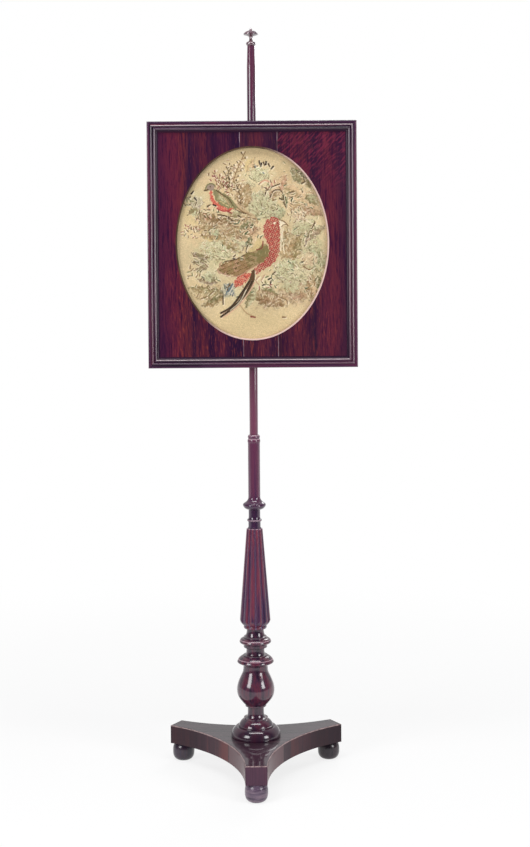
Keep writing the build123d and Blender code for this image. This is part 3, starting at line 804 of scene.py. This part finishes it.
        # a thin stem with side twigs, each ending in a pale bud
        line = curved(points)
        self.lay(self.near(line, 1.5) * 0.85, stem)
        for number in range(twigs):
            place = int((number + 0.5) / twigs * (len(line) - 2))
            (x, z), following = line[place], line[place + 1]
            heading = math.atan2(following[1] - z, following[0] - x) + (0.95 if number % 2 else -0.95)
            end = ahead(x, z, length * self.rng.uniform(0.6, 1.2), heading)
            self.lay(self.near([(x, z), end], 1.5) * 0.85, stem)
            beside = (end[0] + 1.6, end[1] + 1.0)
            self.lay(self.near([beside, (beside[0] + 1.5, beside[1] + 1.5)], 3.2) * 0.85, "white")
            self.lay(self.near([end, (end[0] - 0.8, end[1] + 1.6)], 2.2), bud)


def ahead(x, z, reach, heading):
    # the place that lies this far on
    return (x + reach * math.cos(heading), z + reach * math.sin(heading))


def curved(points, steps=6):
    # an open run through the points, rounded between them
    ends = [points[0]] + list(points) + [points[-1]]
    line = []
    for a, b, c, d in zip(ends, ends[1:], ends[2:], ends[3:]):
        for step in range(steps):
            t = step / steps
            line.append(tuple(
                0.5 * (
                    2 * q + (r - p) * t + (2 * p - 5 * q + 4 * r - s) * t ** 2
                    + (3 * q - p - 3 * r + s) * t ** 3
                )
                for p, q, r, s in zip(a, b, c, d)
            ))
    return line + [points[-1]]


def rounded(outline, steps=6):
    # a closed outline, rounded in the same way
    loop = curved([outline[-1]] + list(outline) + [outline[0], outline[1]], steps)
    return loop[steps:-steps - 1]


def workGround(cloth):
    # the cream ground warms towards the foot, and soft shades lie under the flowers
    for row in (
        (-70, 120, 60, 40, "peach", 0.3), (0, 165, 70, 26, "sand", 0.45), (70, 128, 46, 34, "sand", 0.5),
        (-112, 60, 36, 60, "straw", 0.5), (0, -150, 120, 40, "straw", 0.35), (92, 70, 44, 42, "peach", 0.6),
        (52, 108, 34, 30, "peach", 0.65), (-52, 34, 60, 26, "tan", 0.6), (-30, 8, 50, 26, "sand", 0.7),
        (-14, 92, 22, 32, "fawn", 0.7), (-84, 10, 44, 30, "peach", 0.4), (-70, -20, 52, 34, "sage", 0.7),
        (20, 66, 42, 34, "sage", 0.7), (78, 8, 40, 36, "sand", 0.8), (112, 0, 30, 44, "sage", 0.7),
        (76, -54, 48, 40, "sage", 0.8), (108, -74, 34, 34, "fawn", 0.7), (34, -104, 44, 26, "fawn", 0.6),
        (80, -100, 34, 22, "rose", 0.5), (-88, -90, 44, 24, "sand", 0.75), (-80, -58, 34, 24, "milk", 0.6),
        (14, 126, 36, 22, "milk", 0.7), (-40, -90, 24, 20, "milk", 0.6), (4, -88, 20, 30, "sage", 0.5),
        (-104, 84, 24, 24, "milk", 0.5), (98, 46, 36, 26, "milk", 0.5), (-60, 96, 30, 30, "sand", 0.3),
        (26, -78, 26, 18, "milk", 0.6), (0, 20, 26, 24, "peach", 0.5), (120, -40, 20, 30, "mint", 0.4),
    ):
        cloth.wash(*row)


def workFoliage(cloth):
    # leaves and flowers behind the birds, from the back to the front
    for row in (
        (104, 112, 72, 144, 22, "grey sage", 3), (110, 104, 96, 132, 16, "sand moss", 3),
        (70, 60, 124, 92, 38, "peach sand", 4, 0.3), (92, 68, 134, 52, 28, "peach rose", 4, 0.3),
        (56, 104, 96, 86, 22, "peach sand", 4, 0.3), (50, 96, 66, 130, 20, "peach pink", 3, 0.3),
        (-10, 38, -66, 46, 26, "tan brown"), (-16, 26, -64, 22, 24, "fawn tan"),
        (-56, 36, -112, 62, 26, "fawn brown"), (-60, 30, -118, 30, 20, "sand tan"),
        (-44, 6, -100, 16, 18, "straw tan", 4, 0.3), (-2, 24, -36, -4, 24, "peach fawn", 4, 0.3),
        (62, -34, 62, 24, 28, "sand tan", 5, 0.7), (76, -34, 90, 22, 28, "tan olive", 5, 0.7),
        (92, -10, 128, -38, 22, "milk sage", 4, 0.3), (74, 16, 120, 42, 28, "milk sage", 4, 0.4),
        (98, 6, 138, 32, 22, "sage mauve", 4, 0.4), (106, -4, 140, -52, 24, "sage mint", 4, 0.4),
        (66, -92, 104, -104, 26, "fawn rose", 4, 0.3), (82, -66, 126, -84, 30, "fawn tan"),
        (104, -72, 112, -112, 18, "peach tan"), (120, -62, 130, -96, 14, "moss grey"),
        (-50, -96, -122, -82, 26, "sand olive", 5), (-54, -98, -98, -118, 16, "tan moss"),
        (-66, -72, -106, -66, 12, "mauve grey", 2), (-98, 74, -122, 54, 14, "sage moss", 2),
        (-82, -28, -116, -16, 11, "mauve moss", 2), (-84, -34, -116, -34, 10, "grey moss", 2),
        (-82, -40, -110, -50, 10, "mauve grey", 2),
    ):
        cloth.leaf(*row)
    for row in (
        (14, 128, 20, 7, "milk sage grey", 0.4, 0.7), (-6, 110, 12, 5, "cream sage grey", 0.4, 0.7),
        (18, 72, 28, 9, "milk sage grey", 0.2), (46, 58, 17, 7, "sage mint grey", 0.7, 0.8),
        (-62, -12, 26, 9, "milk sage grey", 0.5, 0.75), (-30, -2, 19, 7, "milk sage mauve", 0.1, 0.8),
        (-84, -8, 16, 7, "milk sage tan", 0.9, 0.8), (66, -52, 27, 9, "milk sage grey", 0.2, 0.9),
        (92, -62, 19, 7, "cream sage grey", 0.6, 0.9), (72, -82, 17, 7, "milk sage tan", 0.6, 0.7),
        (108, -30, 15, 6, "cream peach rose", 0.4, 0.9), (-80, -62, 13, 6, "milk mint grey", 0.4, 0.8),
        (-104, 78, 13, 6, "white sage mauve", 0.4, 0.9), (-72, 22, 10, 5, "milk mint grey", 0.4, 0.7),
        (88, 54, 13, 6, "white peach rose", 0.8, 0.9),
    ):
        cloth.blossom(*row)
    for row in (
        (73, -39, 9, 11, "mint", 0.9), (-70, 20, 9, 7, "mint", 0.8), (-106, 56, 8, 6, "mint", 0.9),
        (50, 60, 15, 6, "mint", 0.7),
    ):
        cloth.wash(*row)
    for row in (
        (-16, 66, -8, 116, 34, "fawn tan", 4, 0.3), (12, 42, -36, 46, 24, "peach fawn", 4, 0.6),
        (16, 28, -34, 8, 26, "peach rose", 4, 0.6), (-56, 4, -20, -18, 18, "sand olive"),
        (100, 90, 124, 70, 18, "sage moss", 3), (-10, 134, 6, 162, 18, "straw peach", 3, 0.3),
        (32, 84, 54, 96, 17, "rose fawn", 2, 0.3), (56, 92, 64, 66, 10, "green moss", 2),
        (0, -96, 62, -118, 36, "tan brown", 5, 0.25),
    ):
        cloth.leaf(*row)
    cloth.wash(36, -108, 26, 12, "rose", 0.5, -20)
    for row in (
        (14, -88, 50, -98, 13, "moss rose", 3), (2, -78, -14, -122, 18, "sage moss", 3),
        (-10, -8, 0, 14, 10, "green moss", 2), (-24, 28, 6, 38, 12, "moss green", 2),
        (-38, 50, -18, 58, 13, "sage moss", 2),
    ):
        cloth.leaf(*row)


def workTwigs(cloth):
    for line in (
        ([(14, 112), (24, 118), (36, 113), (38, 106)], 2.6, "pink", None, "white"),
        ([(24, 90), (28, 100), (38, 106), (52, 111)], 2.4, "umber", None, "white"),
        ([(34, 86), (40, 98), (52, 100), (58, 92), (60, 78), (64, 66)], 2.4, "umber", 2.0, "white"),
        ([(118, 38), (108, 20), (104, 8), (98, -6)], 2.4, "umber", 1.6, "white"),
        ([(44, -99), (56, -104), (64, -108), (65, -114)], 2.0, "brown", None, "white"),
        ([(-24, -116), (-12, -131), (4, -138)], 1.7, "tan", 2.6), ([(-4, -138), (4, -139)], 2.4, "wine"),
        ([(-64, 54), (-48, 51), (-36, 42)], 3.0, "umber", 2.0, "white"),
        ([(-2, -20), (-12, -16), (-8, -2)], 2.2, "umber", 1.6, "white"),
        ([(-56, -98), (-56, -114)], 2.2, "umber", None, "white"),
        ([(-98, -104), (-84, -98), (-74, -90)], 2.0, "brown", None, "white"),
        ([(96, -44), (106, -50), (115, -46)], 2.6, "brown", 1.6, "white"),
        ([(78, 40), (96, 44), (114, 36)], 1.6, "white"), ([(58, 28), (56, 8), (60, -20)], 1.8, "white"),
    ):
        cloth.stem(*line)
    for x, z, lean, name in (
        (14, 154, -80, "black"), (18, 150, -100, "black"), (22, 152, -70, "umber"), (27, 153, -95, "black"),
        (31, 149, -60, "umber"), (40, 144, -130, "black"), (5, 143, 20, "umber"), (94, 112, 30, "umber"),
        (93, 101, -70, "umber"), (72, 94, 30, "umber"), (70, 86, 5, "umber"), (73, 79, 60, "green"),
        (84, 136, -60, "moss"), (92, 130, -30, "moss"), (98, 124, -20, "umber"), (90, -37, 20, "black"),
        (-114, 94, 50, "black"), (-108, 86, -50, "black"), (-122, 74, -10, "umber"),
        (-116, 88, 200, "umber"), (-2, 30, 60, "green"), (-13, 18, 40, "green"), (-84, 70, 30, "umber"),
        (-26, 52, -30, "umber"), (110, 20, 60, "moss"), (30, -68, 30, "black"), (35, -71, 250, "black"),
        (24, -77, 200, "black"), (24, -64, 20, "moss"), (38, -58, 40, "umber"), (52, 84, -30, "umber"),
        (44, 82, 200, "brown"), (56, -139, 0, "brown"), (118, -70, 60, "umber"), (122, -84, 60, "moss"),
        (14, 4, 80, "umber"),
    ):
        cloth.stem([(x, z), ahead(x, z, 6, math.radians(lean))], 3.4, name, 2.2, "white")
    for row in (
        ([(-40, 98), (-34, 120), (-26, 142), (-12, 172)], 14, 9, "brown", "umber"),
        ([(-46, 104), (-48, 122), (-38, 146)], 11, 8, "umber", "umber"),
        ([(-58, 104), (-60, 118), (-74, 134)], 9, 8, "brown", "wine"),
        ([(-22, 74), (-24, 96), (-30, 112)], 10, 7, "umber", "brown"),
    ):
        cloth.sprig(*row)
    for row in (
        (-46, 102, 22, 12, 26, 4, 2.0, "umber brown wine brown"),
        (-32, 138, 18, 22, 20, 4, 2.2, "umber brown rose"),
        (-68, 122, 16, 8, 12, 4, 2.2, "brown wine pink"), (-92, 54, 14, 10, 16, 5, 2.2, "umber brown pink"),
        (-74, 62, 12, 9, 9, 5, 2.2, "moss brown umber"),
        (-52, 46, 16, 9, 10, 6, 2.2, "umber brown grey", -30),
        (-116, 22, 18, 12, 30, 4, 1.9, "brown umber grey wine"),
        (-86, 26, 16, 12, 18, 4, 1.9, "brown fawn umber", 80),
        (-116, 80, 10, 14, 9, 5, 2.2, "umber moss grey"),
        (-110, -54, 14, 12, 13, 6, 2.4, "moss umber brown", 40),
        (-98, -32, 15, 12, 11, 6, 2.0, "mauve grey brown", -15),
        (88, 58, 18, 18, 24, 4, 1.8, "brown tan umber rose"),
        (74, 84, 10, 12, 9, 5, 2.0, "umber moss brown", 20),
        (28, 106, 16, 8, 10, 5, 2.0, "umber moss wine"),
        (86, 128, 14, 9, 10, 5, 2.0, "moss grey umber", -30),
        (112, 10, 14, 18, 14, 5, 2.0, "mauve moss rose brown", 70),
        (120, -34, 9, 20, 14, 5, 2.0, "mint moss grey", 80),
        (66, -56, 28, 20, 26, 5, 1.7, "sage grey mint mauve"),
        (-56, -14, 36, 16, 26, 5, 1.7, "sage grey mint tan"),
        (20, 70, 28, 20, 18, 5, 1.7, "sage grey mint"), (76, 0, 24, 28, 20, 5, 1.7, "tan olive sand", 85),
        (104, -82, 16, 18, 14, 5, 2.0, "brown rose moss", 75),
        (24, -80, 14, 8, 8, 5, 2.2, "wine moss umber"), (8, 136, 16, 10, 9, 4, 2.2, "slate mint grey"),
        (36, -112, 24, 12, 10, 6, 1.7, "brown rose tan", 60),
        (-92, -92, 24, 14, 12, 6, 1.8, "olive brown moss", 20),
        (-30, 28, 26, 12, 14, 5, 1.9, "rose brown olive", 15),
        (96, 74, 30, 34, 22, 4, 1.7, "moss brown olive tan"),
        (-50, 20, 60, 30, 24, 4, 1.6, "umber brown olive grey"),
        (84, -30, 40, 50, 22, 4, 1.6, "moss brown grey tan"),
        (-80, -60, 40, 46, 12, 4, 1.6, "moss brown grey olive"),
        (10, 110, 60, 40, 16, 4, 1.6, "moss brown tan olive"),
        (16, 4, 112, 108, 130, 4, 2.0, "umber brown olive moss green"),
        (-10, 24, 26, 24, 12, 5, 2.2, "green umber"),
    ):
        cloth.strokes(*row)


def workSmallBird(cloth):
    # grey cap, coral breast and a long grey tail
    cloth.lay(cloth.near(curved([(-38, 74), (-18, 62), (2, 50)]), 10, 7) * 0.6, "fawn")
    cloth.stem([(-42, 84), (-28, 68), (-16, 56)], 1.8, "umber", 1.4, "cream")
    cloth.stem([(-34, 72), (-18, 60), (-2, 52)], 1.8, "brown", 1.4, "cream")
    cloth.stem([(-36, 66), (-24, 60), (-12, 56)], 1.6, "umber")
    body = cloth.inside([
        (-74, 103), (-62, 98), (-48, 92), (-36, 80), (-28, 66), (-46, 66), (-62, 74), (-70, 86),
    ])
    cloth.lay(body, "grey")
    cloth.lay(body * 0.35, "olive")
    cloth.wash(-56, 84, 11, 7, "milk", 0.7, -40)
    cloth.stem([(-62, 94), (-50, 84), (-42, 72)], 1.8, "fawn")
    cloth.stem([(-68, 101), (-56, 92), (-44, 84), (-34, 68)], 1.8, "umber")
    cloth.stem([(-60, 80), (-48, 72), (-36, 68)], 1.6, "straw")
    cloth.speckle(body, 0.15, "moss")
    breast = cloth.inside([
        (-80, 99), (-75, 98), (-72, 84), (-61, 74), (-47, 66), (-34, 66), (-44, 60), (-60, 63),
        (-74, 74), (-79, 87),
    ])
    cloth.lay(breast, "coral")
    cloth.speckle(breast, 0.2, "pink")
    cloth.stem([(-66, 66), (-54, 61), (-40, 63)], 2.4, "red")
    cloth.stem([(-46, 60), (-38, 57)], 2.2, "wine")
    cloth.lay(cloth.near([(-79, 106), (-77, 106)], 13), "mauve")
    cloth.stem([(-88, 101), (-84, 110), (-76, 113), (-69, 109)], 2.2, "moss")
    cloth.stem([(-89, 100), (-83, 101)], 3.0, "umber")
    cloth.stem([(-79, 107), (-78, 107)], 1.8, "umber")
    cloth.stem([(-73, 73), (-68, 71)], 3.0, "black", shine="white")


def workLargeBird(cloth):
    # speckled red head and breast, olive wing, brown coverts and a long dark tail
    body = cloth.inside([
        (32, 47), (42, 49), (50, 43), (53, 32), (51, 8), (51, -12), (47, -28), (36, -40), (20, -50), (4, -60),
        (-4, -62), (-2, -52), (10, -42), (24, -30), (32, -12), (27, 2), (22, 16), (22, 34),
    ])
    cloth.lay(body, "red")
    tail = np.clip((12 - cloth.x) / 24 - (cloth.z + 40) / 40, 0, 1)
    cloth.lay(body * tail * 0.6, "rose")
    scales = np.sin(cloth.x * 1.25 + cloth.z * 0.4) * np.sin(cloth.z * 1.25 - cloth.x * 0.3)
    cloth.lay((body & (scales > 0.4)) * 0.8, "peach")
    cloth.lay((body & (scales < -0.5)) * 0.9, "wine")
    cloth.speckle(body, 0.1, "coral")
    cloth.speckle(body, 0.1, "rose")
    cloth.lay(cloth.inside([(52, 43), (60, 40), (66, 34), (60, 33), (53, 28), (51, 36)]), "white")
    cloth.stem([(51, 44), (59, 41), (67, 33)], 2.0, "brown")
    cloth.stem([(54, 30), (60, 35), (66, 34)], 1.6, "brown")
    cloth.lay(cloth.near([(42, 38), (43, 38)], 4.6), "white")
    cloth.lay(cloth.near([(44, 37), (44.5, 37)], 1.8), "umber")
    cloth.stem([(54, 30), (54, 4), (53, -14)], 1.8, "white")
    thigh = cloth.inside([(-36, -76), (-30, -64), (-16, -56), (-2, -58), (-8, -68), (-20, -78), (-30, -83)])
    cloth.lay(thigh, "coral")
    cloth.speckle(thigh, 0.4, "pink")
    cloth.speckle(thigh, 0.15, "wine")
    wing = cloth.inside([
        (12, 0), (22, 0), (30, -8), (31, -18), (27, -27), (14, -38), (-5, -49), (-23, -60), (-40, -60),
        (-60, -54), (-64, -46), (-54, -36), (-30, -30), (-14, -20), (-2, -10),
    ])
    coverts = wing & (cloth.x + cloth.z * 0.3 < -22)
    cloth.lay(wing, "olive")
    cloth.wash(14, -18, 22, 10, "moss", 0.5, 35)
    cloth.lay(coverts, "brown")
    cloth.lay(coverts * 0.5, "tan")
    cloth.mottle(wing, 2.6, 0.6, "brown", "fawn", "olive")
    for x, z, lean in ((-56, -40, 200), (-60, -50, 205), (-46, -56, 225), (-30, -46, 215), (-26, -36, 210)):
        # rounded tips of the coverts
        heading = math.radians(lean)
        middleX, middleZ = ahead(x, z, 5, heading)
        sideX, sideZ = 3.5 * math.sin(heading), -3.5 * math.cos(heading)
        rim = [
            (x + sideX * 1.4, z + sideZ * 1.4), (middleX + sideX, middleZ + sideZ),
            (middleX - sideX, middleZ - sideZ), (x - sideX * 1.4, z - sideZ * 1.4),
        ]
        cloth.stem(rim, 2.0, "rose")
        cloth.stem([(x, z), ahead(x, z, 3, heading)], 1.8, "umber")
    quills = np.abs(np.sin((cloth.x * 0.42 - cloth.z * 0.95) * 0.42)) < 0.2
    quills = wing & quills & (cloth.x < 4)
    cloth.lay(quills, "umber")
    cloth.lay(quills * 0.5, "brown")
    cloth.lay(cloth.near(curved([(13, 2), (6, -8), (-4, -14)]), 13, 6) * 0.9, "straw")
    cloth.stem([(20, 4), (18, -8), (8, -12)], 1.8, "wine")
    cloth.stem([(-66, -50), (-56, -57), (-44, -60)], 2.4, "rose", 1.8, "white")
    cloth.stem([(-40, -62), (-24, -60), (-6, -49), (12, -39)], 2.0, "rose")
    cloth.stem([(-16, -22), (-30, -29), (-52, -34)], 2.0, "umber")
    cloth.strokes(-28, -26, 10, 4, 8, 5, 2.2, "black umber moss", 30)
    cloth.wash(-45, -88, 15, 14, "slate", 0.9)
    cloth.strokes(-46, -88, 10, 11, 20, 5, 2.4, "slate umber grey slate", 60)
    cloth.stem([(-38, -76), (-42, -84), (-46, -90)], 3.2, "slate", shine="white")
    for drift in (0, 1):
        quill = [
            (2, -52 - 6 * drift), (-6 + 6 * drift, -72), (-22 + 8 * drift, -96), (-40 + 6 * drift, -119),
            (-60, -131 - 7 * drift),
        ]
        cloth.stem(quill, 5.6, "umber", 3.0, "white")
        cloth.stem([(x - 1.2, z + 0.8) for x, z in quill[1:]], 2.4, "black", 1.8)
        cloth.stem([(x + 3.6, z - 1.4) for x, z in quill[1:]], 1.5, "pink", 1.3)
    cloth.stem([(-14, -86), (-26, -108), (-44, -124)], 2.0, "black", 1.6, "white")
    cloth.stem([(12, -62), (6, -70), (12, -78)], 3.0, "rose", 2.0, "white")
    cloth.stem([(22, -60), (16, -70)], 2.6, "rose", 2.0, "white")


def workPattern(cloth, look):
    workGround(cloth)
    workFoliage(cloth)
    worked = np.abs(cloth.wool - look["ground"]).sum(axis=2) > 26
    cloth.mottle(worked, 6.0, 0.2, "tan", "milk", "peach")
    cloth.mottle(worked, 3.0, 0.24, "brown", "white", "moss", "olive")
    cloth.mottle(worked, 1.6, 0.3, "umber", "white")
    workTwigs(cloth)
    workSmallBird(cloth)
    workLargeBird(cloth)
    # every strand of wool takes the dye a little differently, and all have faded
    shade = 1 + cloth.rng.normal(0, 0.035, cloth.x.shape)
    drift = 0.96 + 0.03 * np.sin(cloth.x * 0.05 + 1) * np.sin(cloth.z * 0.06)
    cloth.wool = np.clip(cloth.wool * (shade * drift)[..., None], 0, 255)


def needleworkSheet():
    look = needlework
    low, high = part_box("needlework")
    ovalLow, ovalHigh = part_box("oval_slip")
    lift = (low.z + high.z - ovalLow.z - ovalHigh.z) / 2 * 1000
    cloth = Canvas((high.x - low.x) * 1000, (high.z - low.z) * 1000, lift, look)
    workPattern(cloth, look)
    columns, rows = cloth.columns, cloth.rows
    across = np.linspace(low.x, high.x, columns + 1)
    upward = np.linspace(low.z, high.z, rows + 1)
    gridX, gridZ = np.meshgrid(across, upward)
    # the canvas swells a hair between its tacks
    swell = np.sin(gridX * 41 + 0.5) * np.sin(gridZ * 37) * look["relief"]
    gridY = (low.y + high.y) / 2 + swell
    points = np.stack([gridX, gridY, gridZ], axis=-1).reshape(-1, 3)
    first = (np.arange(rows)[:, None] * (columns + 1) + np.arange(columns)).ravel()
    faces = np.stack([first, first + 1, first + columns + 2, first + columns + 1], axis=1)
    data = bpy.data.meshes.new("needleworkCloth")
    data.from_pydata(points.tolist(), [], faces.tolist())
    attribute = data.color_attributes.new("wool", "FLOAT_COLOR", "CORNER")
    value = cloth.wool.reshape(-1, 3) / 255
    value = np.where(value <= 0.04045, value / 12.92, ((value + 0.055) / 1.055) ** 2.4)
    value = np.concatenate([value, np.ones((len(value), 1))], axis=1)
    attribute.data.foreach_set("color", np.repeat(value, 4, axis=0).astype(np.float32).ravel())
    data.materials.append(woolStitches(look, low))
    sheet = bpy.data.objects.new("needleworkCloth", data)
    bpy.context.scene.collection.objects.link(sheet)
    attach(sheet, "screen_panel")
    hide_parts("needlework")


def woolStitches(look, corner):
    # each stitch slants across its hole in the canvas
    finish = Finish("woolStitches")
    gauge = look["gauge"] / 1000
    shift = (-corner.x, 0, -corner.z)
    u, v = finish.axis("X", shift) / gauge, finish.axis("Z", shift) / gauge
    u, v = u.maths("FRACT", u) - 0.5, v.maths("FRACT", v) - 0.5
    across, along = (u - v) / 0.5, (u + v) / 0.95
    strand = (1 - across * across).clamped() * (1 - along * along).clamped()
    wool = finish.node("Attribute", {"attribute_name": "wool"})
    fuzz = finish.noise(finish.place(), 4200.0, 2.0)
    # painted shade: the wool is darkened towards each stitch's edge, in the creases between stitches
    colour = finish.mix(0.25 - strand * 0.25, wool, rgb(120, 98, 70), "MULTIPLY")
    return finish.surface({
        "Base Color": colour,
        "Roughness": 0.88,
        "Normal": finish.bump(0.5, 0.0003, strand + fuzz * 0.3),
        "Sheen Weight": 0.12,
        "Specular IOR Level": 0.15,
    })


needleworkSheet()
print("needlework stitched")

# Floor and light
floorLook = {
    "reach": 9.0,
    "front": -1.4,  # the paper ends here, so polished faces see the dark room past it
    "colour": rgb(247, 247, 248),
    "glow": 0.80,  # how white the paper stays under the object's shadow
    "shadowEnds": (0.4, 1.9),  # metres from the pole where the shadow fades out
}
white = (1, 1, 1, 1)


def paleFloor(look):
    data = bpy.data.meshes.new("floor")
    reach, front = look["reach"], look["front"]
    corners = [(-reach, front, 0), (reach, front, 0), (reach, reach, 0), (-reach, reach, 0)]
    data.from_pydata(corners, [], [(0, 1, 2, 3)])
    floor = bpy.data.objects.new("floor", data)
    bpy.context.scene.collection.objects.link(floor)
    finish = Finish("paleFloor")
    seen = (finish.rays("Camera") + finish.rays("Glossy") + finish.rays("Transmission")).clamped()
    matt = finish.node("BsdfDiffuse", None, {"Color": look["colour"]})
    glow = finish.node("Emission", None, {"Color": white, "Strength": 1.0})
    here = finish.node("TexCoord", output="Object")
    away = finish.node("VectorMath", {"operation": "LENGTH"}, {0: here}, "Value")
    share = look["glow"] + away.stepUp(*look["shadowEnds"]) * (1 - look["glow"])
    both = finish.node("MixShader", None, {0: seen * share, 1: matt, 2: glow})
    finish.node("OutputMaterial", None, {"Surface": both})
    data.materials.append(finish.material)


paleFloor(floorLook)

roomLight = {
    "ambient": 0.26,
    "backdrop": 0.6,  # what polished faces see behind the object
    "room": 0.05,  # and behind the camera
    "turns": (-0.15, 0.35),  # where the room gives way to the backdrop, in y of the ray
}
world = bpy.data.worlds.new("studio")
bpy.context.scene.world = world
world.use_nodes = True
studio = Finish("studio", world.node_tree)
reflected = (studio.rays("Glossy") + studio.rays("Transmission")).clamped()
heading = studio.node("SeparateXYZ", None, {0: studio.node("TexCoord", output="Generated")}, output="Y")
ambient, room = roomLight["ambient"], roomLight["room"]
mirrored = room + heading.stepUp(*roomLight["turns"]) * (roomLight["backdrop"] - room)
level = ambient + reflected * (mirrored - ambient)
level = level + studio.rays("Camera") * (1 - level)
sky = studio.node("Background", None, {"Color": white, "Strength": level})
studio.node("OutputWorld", None, {"Surface": sky})

lamps = {
    # turn is in degrees round the pole from the camera's side, to the right; aim is a height
    # on the pole
    "leftBox": {"turn": -46, "distance": 2.5, "height": 1.3, "aim": 0.75, "size": (1.05, 1.1), "power": 32},
    "rightBox": {"turn": 50, "distance": 2.5, "height": 1.05, "aim": 0.75, "size": (0.82, 1.0), "power": 26},
    "overBox": {"turn": 0, "distance": 0.7, "height": 2.6, "aim": 0.4, "size": (2.2, 0.5), "power": 30},
    "rearBox": {"turn": 165, "distance": 2.6, "height": 2.0, "aim": 0.75, "size": (1.2, 0.9), "power": 20},
}
for name, lamp in lamps.items():
    light = bpy.data.lights.new(name, "AREA")
    light.shape = "RECTANGLE"
    light.size, light.size_y = lamp["size"]
    light.energy = lamp["power"]
    holder = bpy.data.objects.new(name, light)
    bpy.context.scene.collection.objects.link(holder)
    turn, away = math.radians(lamp["turn"]), lamp["distance"]
    holder.location = (away * math.sin(turn), -away * math.cos(turn), lamp["height"])
    aim = Vector((0, 0, lamp["aim"])) - holder.location
    holder.rotation_euler = aim.to_track_quat("-Z", "Y").to_euler()
    holder.visible_camera = False
print("floor and light set")

photo = {
    "width": 530,
    "height": 847,
    "focal": 1504.0,  # pixels
    "middleRow": 310.5,  # row and column that the lens looks at squarely
    "middleColumn": 252.9,
    "tilt": 1.0,  # degrees down
    "roll": 0.43,
    "distance": 2.85,
    "eyeHeight": 0.928,
    "sensor": 36.0,
}


def photographersCamera(look):
    data = bpy.data.cameras.new("camera")
    data.sensor_width = look["sensor"]
    data.lens = look["focal"] / look["height"] * look["sensor"]
    data.shift_x = (look["width"] / 2 - look["middleColumn"]) / look["height"]
    data.shift_y = (look["middleRow"] - look["height"] / 2) / look["height"]
    camera = bpy.data.objects.new("camera", data)
    bpy.context.scene.collection.objects.link(camera)
    place = Matrix.Translation((0, -look["distance"], look["eyeHeight"]))
    tilt = Matrix.Rotation(math.radians(90 - look["tilt"]), 4, "X")
    camera.matrix_world = place @ (tilt @ Matrix.Rotation(math.radians(-look["roll"]), 4, "Z"))
    bpy.context.scene.camera = camera


photographersCamera(photo)
bpy.context.scene.view_settings.view_transform = "Standard"

print("scene ready")
